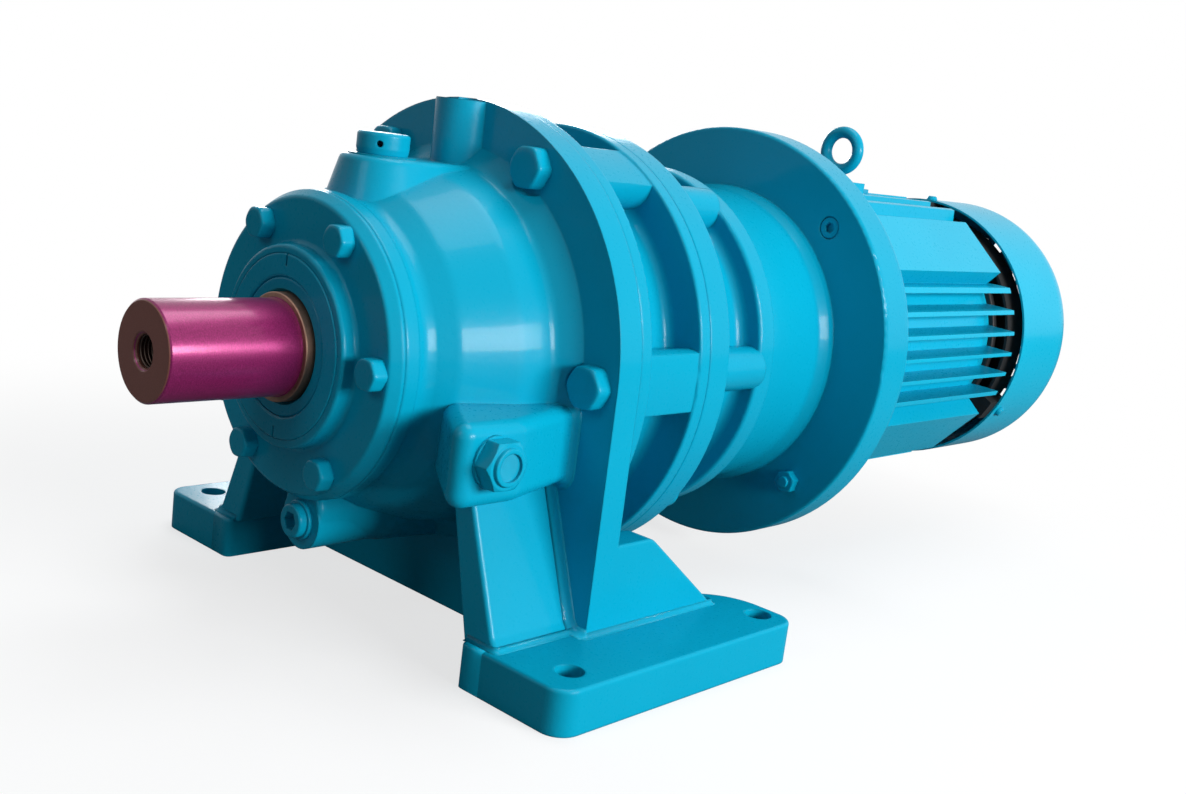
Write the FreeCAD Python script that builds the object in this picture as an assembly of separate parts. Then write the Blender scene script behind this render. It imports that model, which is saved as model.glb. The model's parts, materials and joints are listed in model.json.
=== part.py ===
import FreeCAD, Part
import math
import os
from FreeCAD import Vector

# Foot-mounted cycloidal gearmotor: a cast gear case on two feet, a pin housing with a
# two-disc cycloidal stage, a bell adapter and a flanged, fan-cooled motor behind it.
# Millimetres, +Z up. The origin is the middle of the four foot bolts on the base plane,
# the output shaft points to -Y and the oil sight glass is on the +X side.

# Feet and shaft height
shaft_height = 200.0
foot_bolt_span_x = 420.0
foot_bolt_span_y = 202.0
foot_hole_r = 10.0
foot_thickness = 31.0
foot_outer_edge = 24.0
foot_width = 84.0
foot_front_edge = 29.4
foot_rear_edge = 17.7
foot_corner_r = 16.0
foot_rear_inner_r = 48.0

# Gear case: stations along the shaft axis follow from the flange's front face
case_flange_front_y = -52.0
case_flange_thickness = 22.0
case_flange_r = 177.0
case_body_length = 118.0
case_nose_r = 104.5
case_collar_length = 11.0
case_neck_r = 101.0
case_flange_overhang = 46.0
case_bell_step = 18.0
case_flange_fillet = 14.0
case_web_clearance = 5.0
leg_wall = 19.0
leg_top_x = 130.0
leg_foot_x = 160.0
leg_front_y = -124.0
leg_top_drop = 82.0
leg_flare = 7.0
gusset_wall = 24.0
gusset_rise = 62.0
gusset_length = 116.0
gusset_crest = 38.0

# Through bolts of the reducer
housing_bolt_inset = 21.0
housing_bolt_count = 6
housing_bolt_r = 8.0
housing_bolt_hex = 29.0
housing_bolt_head = 12.0
housing_bolt_end_wall = 4.0
lug_r = 23.0

# Top boss, filler plug and lifting boss
boss_root = 60.0
top_boss_below_rim = 47.0
top_boss_width = 56.0
top_boss_nose = 27.0
top_boss_draft = 17.0
filler_y = -122.0
filler_cap_r = 18.0
filler_cap_height = 15.0
filler_seat_r = 23.0
filler_seat_height = 1.0
filler_thread_r = 11.0
filler_thread_length = 22.0
vent_hole_r = 2.2
lifting_boss_below_rim = 2.0
lifting_hole_r = 8.5
lifting_hole_depth = 30.0

# Side bosses with the sight glass and the blanking plug
side_boss_x = 164.0
side_boss_low_drop = 70.0
side_boss_high_drop = 16.0
side_boss_front_y = -178.0
side_boss_sweep = 73.0
side_boss_rear_x = 142.0
side_boss_inner_x = 60.0
side_boss_edge_r = 9.0
side_plug_y = -144.0
side_plug_drop = 40.0
side_plug_hex = 30.0
side_plug_head = 12.0
side_plug_thread_r = 10.5
side_plug_depth = 18.0
sight_lens_r = 9.0
sight_lens_thickness = 4.5
sight_rim_wall = 3.0
sight_rim_height = 2.5
washer_thickness = 2.0
washer_r = 17.0
level_drilling_r = 5.0

# Drain boss and plug
drain_drop = 123.0
drain_boss_r = 21.0
drain_boss_front_y = -163.0
drain_thread_r = 8.0
drain_depth = 18.0
drain_head_r = 12.0
drain_socket_hex = 12.0
drain_head = 9.0

# End cover and its bolts
cover_plate = 9.6
cover_front_r = 99.5
cover_rim_r = 104.2
cover_hub_r = 68.0
cover_hub_height = 11.4
cover_bolt_circle_r = 88.5
cover_bolt_count = 6
cover_bolt_r = 5.0
cover_bolt_hex = 19.0
cover_bolt_head = 9.5
cover_bolt_depth = 22.0
cover_spigot = 9.0

# Output shaft and what seals and carries it
shaft_r = 32.5
shaft_reach = 98.0
shaft_chamfer = 1.5
shaft_tap_r = 10.6
shaft_tap_depth = 42.0
shaft_key_width = 18.0
shaft_key_depth = 7.0
shaft_key_length = 72.0
shaft_key_setback = 8.0
shaft_key_turn = -40.0
sleeve_r = 36.5
sleeve_stand = 5.0
sleeve_seat_r = 33.0
seal_ring_r = 62.0
seal_ring_depth = 5.0
seal_r = 46.5
seal_width = 12.0
front_bearing_bore_r = 37.5
front_bearing_r = 65.0
front_bearing_width = 25.0
rear_bearing_bore_r = 45.0
rear_bearing_r = 80.0
rear_bearing_width = 30.0
bearing_ring_share = 0.3
carrier_r = 92.0
carrier_thickness = 26.0
carrier_hub_r = 54.0
case_cavity_r = 86.0
bearing_lip = 5.0

# Cycloidal stage
ring_pin_count = 12
ring_pin_r = 8.0
ring_pin_circle_r = 110.0
eccentricity = 4.5
disc_thickness = 18.0
disc_gap = 4.0
disc_bore_r = 37.1
profile_clearance = 0.15
output_pin_count = 8
output_pin_r = 9.0
output_pin_circle_r = 62.0
output_bush_r = 13.0
eccentric_roller_count = 14
eccentric_roller_r = 5.5
eccentric_journal_r = 26.0
profile_steps_per_lobe = 10

# Pin housing
pin_housing_length = 86.0
pin_housing_front_flange = 12.0
pin_housing_rear_flange = 11.5
pin_housing_rear_inset = 9.6
pin_housing_shell_r = 137.0
pin_bore_r = 112.0
pin_seat_front = 24.0
pin_seat_rear = 14.0
carrier_bore_r = 103.0

# Bell adapter to the motor
adapter_flange = 23.5
adapter_neck_r = 122.0
adapter_ring_y = 149.0
adapter_ring_width = 20.0
adapter_ring_r = 144.0
adapter_barrel_r = 129.5
adapter_barrel_end_y = 262.0
adapter_lip_r = 134.0
adapter_disc_r = 185.0
adapter_disc = 33.0
adapter_disc_front_y = 268.0
adapter_cavity_r = 112.0
adapter_rib_r = 17.0
adapter_rib_circle_r = 133.0
motor_bolt_circle_r = 157.0
motor_bolt_count = 4
motor_bolt_r = 8.0
motor_bolt_hex = 18.0
motor_bolt_head = 8.0
motor_socket_screw_r = 9.0
motor_socket_hex = 8.0
motor_socket_depth = 8.0
motor_spigot_r = 125.0
motor_spigot = 6.0

# Input shaft line
input_shaft_r = 17.5
pilot_bearing_r = 36.0
pilot_bearing_width = 17.0
input_journal_r = 22.5
input_bearing_r = 42.5
input_bearing_width = 19.0
input_seal_r = 33.0
input_seal_width = 9.0
input_shaft_end_y = 205.0
coupling_r = 34.0
coupling_front_y = 150.0
coupling_end_gap = 9.0

# Motor
motor_flange_r = 178.0
motor_flange = 22.0
motor_shaft_r = 19.0
motor_shaft_reach = 80.0
motor_journal_r = 20.0
motor_bearing_r = 45.0
motor_bearing_width = 23.0
frame_bore_r = 104.0
frame_wall = 9.0
frame_length = 285.0
frame_shell_setback = 22.0
fin_height = 27.0
fin_pitch = 21.3
fin_tip_thickness = 3.6
fin_root_thickness = 7.0
fin_count_side = 6
fin_offset_z = 7.3
corner_block_half_angle = 13.5
top_fin_count = 5
stator_bore_r = 70.6
air_gap = 0.8
stator_length = 170.0
winding_reach = 38.0
rotor_end_ring = 22.0
eye_ring_y = 442.0
eye_ring_stand = 29.0
eye_wire_r = 5.6
eye_ring_r = 18.0
eye_shank_r = 5.0
frame_pad_height = 9.0
frame_pad_width = 34.0
earth_screw_y = 492.0

# Motor rear end and fan
rear_shield_thickness = 12.0
rear_shield_hub_r = 62.0
cowl_front_y = 623.0
cowl_wall = 2.2
cowl_end_y = 762.0
cowl_shoulder_r = 52.0
cowl_hole_r = 6.2
cowl_hole_rings = 6
cowl_hole_pitch = 16.3
cowl_screw_y = 636.0
cowl_screw_r = 4.0
cowl_screw_length = 14.0
cowl_arm_half = 11.0
cowl_arm_past_screw = 9.0
fan_tip_room = 4.0
air_guide_wall = 3.0
air_guide_past_fan_back = 14.0
fan_hub_r = 26.0
fan_disc_r = 112.0
fan_tip_r = 118.0
fan_blade_count = 9
fan_blade_height = 44.0
fan_blade_wall = 3.5

# Terminal box on the far side of the motor
box_y = 430.0
box_length = 118.0
box_height = 104.0
box_depth = 62.0
box_wall = 5.0
box_lid = 9.0
box_seat_height = 24.0
lid_screw_r = 4.0
lid_screw_head = 3.0
lid_screw_inset = 11.0
gland_r = 13.0
gland_length = 30.0

# Clearances
seat_gap = 0.05
running_gap = 0.08
hole_gap = 0.6
end_gap = 0.5

# Heights worked out from the shaft axis
axis_z = shaft_height
top_boss_z = axis_z + case_flange_r - top_boss_below_rim
lifting_boss_top_z = axis_z + case_flange_r - lifting_boss_below_rim
side_boss_low_z = axis_z - side_boss_low_drop
side_boss_high_z = axis_z - side_boss_high_drop
side_plug_z = axis_z - side_plug_drop
drain_z = axis_z - drain_drop
leg_top_z = axis_z - leg_top_drop
gusset_top_z = foot_thickness + gusset_rise
frame_shell_r = frame_bore_r + frame_wall
fin_tip_r = frame_shell_r + fin_height
frame_pad_r = fin_tip_r + frame_pad_height
eye_ring_z = axis_z + frame_pad_r + eye_ring_stand
box_seat_x = -frame_shell_r - box_seat_height
cowl_r = fin_tip_r

# Sizes that follow the flange of the gear case
lifting_boss_r = case_flange_thickness - 0.5
case_bell_rear_r = case_flange_r - case_flange_overhang
case_bell_front_r = case_bell_rear_r - case_bell_step
housing_bolt_circle_r = case_flange_r - housing_bolt_inset
pin_housing_rear_r = case_flange_r - pin_housing_rear_inset

# Stations worked out along the axis
case_flange_rear_y = case_flange_front_y + case_flange_thickness
case_nose_y = case_flange_front_y - case_body_length
lifting_boss_y = case_flange_front_y
cover_face_y = case_nose_y - cover_plate
cover_hub_y = cover_face_y - cover_hub_height
shaft_tip_y = cover_hub_y - shaft_reach
pin_housing_rear_y = case_flange_rear_y + pin_housing_length
pin_seat_front_y = case_flange_rear_y + pin_seat_front
pin_seat_rear_y = pin_housing_rear_y - pin_seat_rear
sleeve_y = cover_hub_y - sleeve_stand
front_bearing_y = case_nose_y + cover_spigot
front_bearing_end_y = front_bearing_y + front_bearing_width
rear_bearing_end_y = case_flange_rear_y - 10.0
rear_bearing_y = rear_bearing_end_y - rear_bearing_width
disc_front_y = pin_seat_front_y + 4.0
disc_rear_y = disc_front_y + disc_thickness + disc_gap
discs_end_y = disc_rear_y + disc_thickness
carrier_rear_y = disc_front_y - 4.0
carrier_front_y = carrier_rear_y - carrier_thickness
adapter_flange_rear_y = pin_housing_rear_y + adapter_flange
adapter_rear_y = adapter_disc_front_y + adapter_disc
motor_flange_rear_y = adapter_rear_y + motor_flange
frame_rear_y = motor_flange_rear_y + frame_length
input_bearing_y = pin_seat_rear_y + 4.0
input_bearing_end_y = input_bearing_y + input_bearing_width
input_seal_y = adapter_flange_rear_y - input_seal_width
motor_front_bearing_y = adapter_rear_y + 4.0
motor_rear_bearing_y = frame_rear_y - 18.0
stator_y = motor_flange_rear_y + 58.0
stator_end_y = stator_y + stator_length
fan_y = motor_rear_bearing_y + motor_bearing_width + 22.0
cowl_inner_r = cowl_r - cowl_wall
rotor_r = stator_bore_r - air_gap


def rounded_wire(corners, place):
    """Closed wire through (u, v) or (u, v, radius) corners; a radius rounds that corner."""
    count = len(corners)
    starts = []
    for k in range(count):
        here = Vector(corners[k][0], corners[k][1], 0)
        before = Vector(corners[k - 1][0], corners[k - 1][1], 0)
        after = Vector(corners[(k + 1) % count][0], corners[(k + 1) % count][1], 0)
        radius = corners[k][2] if len(corners[k]) > 2 else 0.0
        if radius == 0.0:
            starts.append((here, None, here))
            continue
        back = (before - here).normalize()
        ahead = (after - here).normalize()
        half = math.acos(max(-1.0, min(1.0, back.dot(ahead)))) / 2.0
        reach = radius / math.tan(half)
        middle = (back + ahead).normalize()
        apex = here + middle * (radius / math.sin(half) - radius)
        starts.append((here + back * reach, apex, here + ahead * reach))
    edges = []
    for k in range(count):
        into, apex, out = starts[k]
        if apex is not None:
            edges.append(Part.Arc(place(into), place(apex), place(out)).toShape())
        follow = starts[(k + 1) % count][0]
        if (follow - out).Length > 1e-6:
            edges.append(Part.LineSegment(place(out), place(follow)).toShape())
    return Part.Wire(edges)


def turned(corners, x=0.0, z=axis_z):
    """Solid of revolution about an axis along Y; corners are (y, radius[, rounding])."""
    wire = rounded_wire(corners, lambda p: Vector(x, p.x, z + p.y))
    return Part.Face(wire).revolve(Vector(x, 0, z), Vector(0, 1, 0), 360)


def plate(corners, y_front, y_rear):
    """Flat plate across the axis; corners are (x, z[, rounding])."""
    wire = rounded_wire(corners, lambda p: Vector(p.x, y_front, p.y))
    return Part.Face(wire).extrude(Vector(0, y_rear - y_front, 0))


def slab(corners, z_low, z_high):
    """Flat plate lying level; corners are (x, y[, rounding])."""
    wire = rounded_wire(corners, lambda p: Vector(p.x, p.y, z_low))
    return Part.Face(wire).extrude(Vector(0, 0, z_high - z_low))


def rod(radius, y_front, y_rear, x=0.0, z=axis_z):
    return Part.makeCylinder(radius, y_rear - y_front, Vector(x, y_front, z), Vector(0, 1, 0))


def tube(outer, inner, y_front, y_rear, x=0.0, z=axis_z):
    return rod(outer, y_front, y_rear, x, z).cut(rod(inner, y_front - 1, y_rear + 1, x, z))


def block(x0, x1, y0, y1, z0, z1):
    return Part.makeBox(x1 - x0, y1 - y0, z1 - z0, Vector(x0, y0, z0))


def on_circle(radius, angle):
    """Point (x, z) on a circle about the shaft axis, angle from +X towards +Z."""
    turn = math.radians(angle)
    return radius * math.cos(turn), axis_z + radius * math.sin(turn)


def about_axis(shape, angle):
    """Copy turned about the shaft axis from +X towards +Z."""
    copy = shape.copy()
    copy.rotate(Vector(0, 0, axis_z), Vector(0, -1, 0), angle)
    return copy


def angles(count, first=0.0):
    return [first + 360.0 * k / count for k in range(count)]


def mirrored(shape):
    return shape.mirror(Vector(0, 0, 0), Vector(1, 0, 0))


def joined(shapes):
    body = shapes[0]
    if len(shapes) > 1:
        body = body.multiFuse(shapes[1:])
    return body.removeSplitter()


def hex_prism(across_flats, height):
    """Hexagon along +Y from y = 0, standing on a flat."""
    corner = across_flats / math.sqrt(3.0)
    points = [Vector(corner * math.cos(math.radians(60 * k)), 0,
                     corner * math.sin(math.radians(60 * k))) for k in range(7)]
    return Part.Face(Part.makePolygon(points)).extrude(Vector(0, height, 0))


def hex_head(across_flats, height):
    """Chamfered bolt head from y = -height to y = 0."""
    corner = across_flats / math.sqrt(3.0)
    prism = hex_prism(across_flats, height)
    prism.translate(Vector(0, -height, 0))
    bevel = corner - across_flats / 2.0
    crown = turned([(-height, 0), (-height, across_flats / 2.0 - 0.4), (-height + 0.75 * bevel, corner + 0.2),
                    (0, corner + 0.2), (0, 0)], 0.0, 0.0)
    return prism.common(crown)


def hex_bolt(across_flats, head, shank_r, length):
    """Hex bolt along +Y, its head seated at y = 0."""
    shank = turned([(0, 0), (0, shank_r), (length - shank_r * 0.25, shank_r),
                    (length, shank_r * 0.75), (length, 0)], 0.0, 0.0)
    return hex_head(across_flats, head).fuse(shank).removeSplitter()


def circle_group(shape, radius, degrees, y=0.0):
    """Copies of a Y-pointing part on a circle about the shaft axis."""
    copies = []
    for angle in degrees:
        copy = shape.copy()
        copy.translate(Vector(radius, y, axis_z))
        copies.append(about_axis(copy, angle))
    return Part.makeCompound(copies)


def hole_ring(radius, hole_r, degrees, y_front, y_rear):
    holes = []
    for angle in degrees:
        x, z = on_circle(radius, angle)
        holes.append(rod(hole_r, y_front, y_rear, x, z))
    return Part.makeCompound(holes)


def pointing(shape, position, direction):
    """Copy of a part that points along +Y, placed to point along another direction."""
    copy = shape.copy()
    copy.Placement = FreeCAD.Placement(position, FreeCAD.Rotation(Vector(0, 1, 0), direction))
    return copy


# Gear case

def case_outer_shell():
    """Collar, waist and bell of the case, turned about the shaft axis."""
    y0 = case_nose_y
    return turned([(y0, 0), (y0, case_nose_r, 2.0), (y0 + case_collar_length, case_nose_r, 4.0),
                   (y0 + case_collar_length + 7, case_neck_r, 14.0),
                   (y0 + case_collar_length + 27, case_bell_front_r, 26.0),
                   (case_flange_front_y - 40, case_bell_rear_r - 4, 30.0),
                   (case_flange_front_y - case_flange_fillet, case_bell_rear_r, 10.0),
                   (case_flange_front_y, case_bell_rear_r + case_flange_fillet),
                   (case_flange_rear_y, case_bell_rear_r + case_flange_fillet), (case_flange_rear_y, 0)])


def case_flange_plate():
    """Round flange that runs straight down to the feet as a cross web."""
    disc = rod(case_flange_r, case_flange_front_y, case_flange_rear_y)
    web = plate([(-case_flange_r, case_web_clearance), (case_flange_r, case_web_clearance),
                 (case_flange_r, axis_z), (-case_flange_r, axis_z)],
                case_flange_front_y, case_flange_rear_y)
    return disc.fuse(web).removeSplitter()


def foot_pad():
    """Near foot: a flat pad with rounded corners, the rear inner one much rounder."""
    x_out = foot_bolt_span_x / 2 + foot_outer_edge
    x_in = x_out - foot_width
    y_front = -foot_bolt_span_y / 2 - foot_front_edge
    y_rear = foot_bolt_span_y / 2 + foot_rear_edge
    pad = slab([(x_in, y_front, 6.0), (x_out, y_front, foot_corner_r), (x_out, y_rear, foot_corner_r),
                (x_in, y_rear, foot_rear_inner_r)], 0.0, foot_thickness)
    top_edges = [e for e in pad.Edges if e.BoundBox.ZMin > foot_thickness - 0.01]
    return pad.makeFillet(2.5, top_edges)


def leg_front_wall():
    """Wall in front of the flange that leans outwards down to the foot."""
    foot_z = foot_thickness - 1.0
    lean = (leg_foot_x - leg_top_x) / (leg_top_z - foot_thickness)
    top_x = leg_top_x - lean * 14.0
    wire = rounded_wire([(leg_foot_x - leg_wall - leg_flare, foot_z), (leg_foot_x + leg_flare, foot_z),
                         (leg_foot_x + 0.5, foot_z + leg_flare + 1, 9.0), (top_x, leg_top_z + 14.0),
                         (top_x - leg_wall, leg_top_z + 14.0)],
                        lambda p: Vector(p.x, leg_front_y, p.y))
    wall = Part.Face(wire).extrude(Vector(0, case_flange_front_y - leg_front_y + 1, 0))
    front_edges = [e for e in wall.Edges if e.BoundBox.YMax < leg_front_y + 0.01 and e.BoundBox.ZLength > 20]
    return wall.makeFillet(3.0, front_edges)


def rear_gusset():
    """Gusset behind the flange, flush with the web's outer edge."""
    y0 = case_flange_rear_y - 1
    y1 = y0 + gusset_length
    wire = rounded_wire([(y0, foot_thickness - 1), (y1 + 3, foot_thickness - 1), (y1, foot_thickness + 1.5),
                         (y0 + gusset_crest, gusset_top_z, 14.0), (y0, gusset_top_z)],
                        lambda p: Vector(case_flange_r - gusset_wall, p.x, p.y))
    wall = Part.Face(wire).extrude(Vector(gusset_wall, 0, 0))
    edges = [e for e in wall.Edges if e.BoundBox.ZMin > foot_thickness and e.BoundBox.YLength > 20]
    return wall.makeFillet(2.0, edges)


def side_boss():
    """Boss at the top of a leg that carries the level plug; its front face runs back towards the bell."""
    y_rear = case_flange_front_y + 2
    boss = slab([(side_boss_inner_x, side_boss_front_y + side_boss_sweep),
                 (side_boss_x, side_boss_front_y, side_boss_edge_r),
                 (side_boss_x, side_plug_y + side_plug_hex * 0.8, 20.0), (side_boss_rear_x, y_rear),
                 (side_boss_inner_x, y_rear)], side_boss_low_z, side_boss_high_z)
    level = [e for e in boss.Edges if e.BoundBox.ZLength < 0.01]
    rim = [e for e in level if e.BoundBox.YMin < y_rear - 1 and e.BoundBox.XMax > side_boss_inner_x + 0.5]
    return boss.makeFillet(side_boss_edge_r, rim)


def boss_outline(half, y_front, y_rear, corner, z):
    """Outline of the top boss at one height, round at the front."""
    return rounded_wire([(-half, y_front, corner), (half, y_front, corner), (half, y_rear), (-half, y_rear)],
                        lambda p: Vector(p.x, p.y, z))


def top_boss():
    """Raised pad for the filler plug, wider at its root, running back into the lifting boss."""
    half = top_boss_width / 2
    y_front = filler_y - top_boss_nose
    y_rear = case_flange_front_y + 2
    corner = half * 0.95
    root = axis_z + boss_root
    pad = Part.makeLoft([boss_outline(half + top_boss_draft, y_front - top_boss_draft, y_rear, corner + 10, root),
                         boss_outline(half, y_front, y_rear, corner, top_boss_z)], True)
    rim = [e for e in pad.Edges if e.BoundBox.ZMin > top_boss_z - 0.01 and e.BoundBox.YMin < y_rear - 1]
    pad = pad.makeFillet(5.0, rim)
    post = Part.makeCylinder(lifting_boss_r, lifting_boss_top_z - root, Vector(0, lifting_boss_y, root))
    filler_face = Part.makeCylinder(filler_seat_r, 2 * filler_seat_height,
                                    Vector(0, filler_y, top_boss_z - filler_seat_height))
    return joined([pad, post, filler_face])


def case_cavity():
    """Bearing seats and oil space, cut along the shaft axis."""
    return turned([(case_nose_y - 1, 0), (case_nose_y - 1, front_bearing_r + seat_gap),
                   (front_bearing_end_y, front_bearing_r + seat_gap),
                   (front_bearing_end_y, front_bearing_r - bearing_lip),
                   (front_bearing_end_y + bearing_lip, front_bearing_r - bearing_lip),
                   (front_bearing_end_y + bearing_lip, case_cavity_r, 8.0),
                   (rear_bearing_y - 2 * bearing_lip, case_cavity_r, 8.0),
                   (rear_bearing_y - bearing_lip, rear_bearing_r - bearing_lip),
                   (rear_bearing_y, rear_bearing_r - bearing_lip),
                   (rear_bearing_y, rear_bearing_r + seat_gap),
                   (rear_bearing_end_y, rear_bearing_r + seat_gap),
                   (rear_bearing_end_y, carrier_bore_r), (case_flange_rear_y + 1, carrier_bore_r),
                   (case_flange_rear_y + 1, 0)])


def cover_clearance():
    """Room for the end cover where the side bosses pass its rim."""
    return rod(cover_rim_r + 3.0, side_boss_front_y - 1, case_nose_y)


def bolt_spot_faces():
    """Flat seats for the heads of the through bolts."""
    return hole_ring(housing_bolt_circle_r, housing_bolt_hex / math.sqrt(3.0) + 2.0, angles(housing_bolt_count),
                     case_flange_front_y - housing_bolt_head - 12, case_flange_front_y)


def sump():
    """Bulge under the case that the drain plug opens into."""
    return turned([(drain_boss_front_y, 0), (drain_boss_front_y, drain_boss_r, 4.0),
                   (drain_boss_front_y + 26, drain_boss_r + 1, 20.0),
                   (case_flange_front_y - 50, drain_boss_r + 9), (case_flange_front_y + 2, drain_boss_r + 12),
                   (case_flange_front_y + 2, 0)], 0.0, drain_z + 8.0).fuse(
        rod(drain_boss_r, drain_boss_front_y, case_flange_front_y, 0.0, drain_z))


def drain_passage():
    along = rod(drain_thread_r + seat_gap, drain_boss_front_y - 1, filler_y, 0.0, drain_z)
    riser = Part.makeCylinder(drain_thread_r, axis_z - case_cavity_r + drain_thread_r - drain_z,
                              Vector(0, filler_y + 4, drain_z))
    return along.fuse(riser)


def level_passage():
    """Tapped hole for the level plug and a slanted drilling into the oil space."""
    tap = Part.makeCylinder(side_plug_thread_r + seat_gap, side_plug_depth + 6,
                            Vector(side_boss_x - side_plug_depth - 5, side_plug_y, side_plug_z), Vector(1, 0, 0))
    start = Vector(side_boss_x - side_plug_depth, side_plug_y, side_plug_z)
    aim = Vector(case_cavity_r - 12, filler_y + 12, side_plug_z + 6)
    drilling = Part.makeCylinder(level_drilling_r, (aim - start).Length, start, aim - start)
    return tap.fuse(drilling)


def foot_holes():
    holes = []
    for x in (-foot_bolt_span_x / 2, foot_bolt_span_x / 2):
        for y in (-foot_bolt_span_y / 2, foot_bolt_span_y / 2):
            holes.append(Part.makeCylinder(foot_hole_r, foot_thickness + 2, Vector(x, y, -1)))
    return Part.makeCompound(holes)


def gear_case():
    sides = []
    for side in (foot_pad(), leg_front_wall(), rear_gusset(), side_boss()):
        sides += [side, mirrored(side)]
    body = joined([case_outer_shell(), case_flange_plate(), top_boss(), sump()] + sides)
    filler_root = axis_z + case_cavity_r - bearing_lip
    cuts = [case_cavity(), cover_clearance(), bolt_spot_faces(), drain_passage(), level_passage(),
            mirrored(level_passage()), foot_holes(),
            Part.makeCylinder(filler_thread_r + seat_gap, top_boss_z + 2 - filler_root,
                              Vector(0, filler_y, filler_root)),
            Part.makeCylinder(lifting_hole_r, lifting_hole_depth + lifting_boss_below_rim + 1,
                              Vector(0, lifting_boss_y, lifting_boss_top_z - lifting_hole_depth)),
            hole_ring(cover_bolt_circle_r, cover_bolt_r + seat_gap, angles(cover_bolt_count),
                      case_nose_y - 1, case_nose_y + cover_bolt_depth),
            hole_ring(housing_bolt_circle_r, housing_bolt_r + hole_gap, angles(housing_bolt_count),
                      case_flange_front_y - 40, case_flange_rear_y + 1)]
    for cut in cuts:
        body = body.cut(cut)
    return body


# End cover, seal and bearings of the output shaft

def end_cover():
    body = turned([(cover_hub_y, seal_r + seat_gap), (cover_hub_y, cover_hub_r, 2.5),
                   (cover_face_y, cover_hub_r, 3.0), (cover_face_y, cover_front_r, 3.0),
                   (case_nose_y - 2.0, cover_rim_r), (case_nose_y, cover_rim_r),
                   (case_nose_y, front_bearing_r - seat_gap), (front_bearing_y, front_bearing_r - seat_gap),
                   (front_bearing_y, front_bearing_r - 11), (case_nose_y, front_bearing_r - 11),
                   (case_nose_y, sleeve_r + 2.5), (cover_hub_y + seal_width, sleeve_r + 2.5),
                   (cover_hub_y + seal_width, seal_r + seat_gap)])
    recess = tube(seal_ring_r + seat_gap, seal_r, cover_hub_y - 1, cover_hub_y + seal_ring_depth)
    return body.cut(recess).cut(hole_ring(cover_bolt_circle_r, cover_bolt_r + hole_gap,
                                          angles(cover_bolt_count), cover_face_y - 9, case_nose_y + 1))


def seal_retaining_ring():
    """Flat ring let into the hub, with two short slots for prising it out."""
    ring = turned([(cover_hub_y - 0.6, seal_r + 1.2, 0.6), (cover_hub_y - 0.6, seal_ring_r - 0.8, 0.6),
                   (cover_hub_y + 0.4, seal_ring_r), (cover_hub_y + seal_ring_depth, seal_ring_r),
                   (cover_hub_y + seal_ring_depth, seal_r + seat_gap), (cover_hub_y + 0.8, seal_r + seat_gap)])
    slot = block(-0.8, 0.8, cover_hub_y - 2, cover_hub_y + 1.2, axis_z + seal_ring_r - 8,
                 axis_z + seal_ring_r + 1)
    return ring.cut(slot).cut(about_axis(slot, 180))


def output_oil_seal():
    lip_r = sleeve_r + running_gap
    return turned([(cover_hub_y + 0.3, lip_r + 2.0, 0.8), (cover_hub_y + 0.3, seal_r - 1.0, 1.2),
                   (cover_hub_y + 1.5, seal_r), (cover_hub_y + seal_width, seal_r),
                   (cover_hub_y + seal_width, lip_r + 3.5), (cover_hub_y + 7.5, lip_r + 3.0),
                   (cover_hub_y + 5.5, lip_r), (cover_hub_y + 4.0, lip_r)])


def cover_bolts():
    bolt = hex_bolt(cover_bolt_hex, cover_bolt_head, cover_bolt_r, cover_plate + cover_bolt_depth - 4)
    return circle_group(bolt, cover_bolt_circle_r, angles(cover_bolt_count), cover_face_y)


def bearing_outer(inner_r, outer_r, y_front, width):
    """Outer ring with its two shields, closed down to the running gap at the inner ring."""
    wall = (outer_r - inner_r) * bearing_ring_share
    shield_r = inner_r + wall + running_gap
    return turned([(y_front, outer_r - wall), (y_front, outer_r, 1.0), (y_front + width, outer_r, 1.0),
                   (y_front + width, outer_r - wall), (y_front + width - 1.5, outer_r - wall - 0.5),
                   (y_front + width - 1.5, shield_r), (y_front + width - 3.0, shield_r),
                   (y_front + width - 3.0, outer_r - wall), (y_front + 3.0, outer_r - wall),
                   (y_front + 3.0, shield_r), (y_front + 1.5, shield_r), (y_front + 1.5, outer_r - wall - 0.5)])


def bearing_inner(inner_r, outer_r, y_front, width):
    """Inner ring with the row of balls left to the shields to hide."""
    wall = (outer_r - inner_r) * bearing_ring_share
    return turned([(y_front, inner_r + seat_gap, 1.0), (y_front, inner_r + wall),
                   (y_front + width, inner_r + wall), (y_front + width, inner_r + seat_gap, 1.0)])


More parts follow.
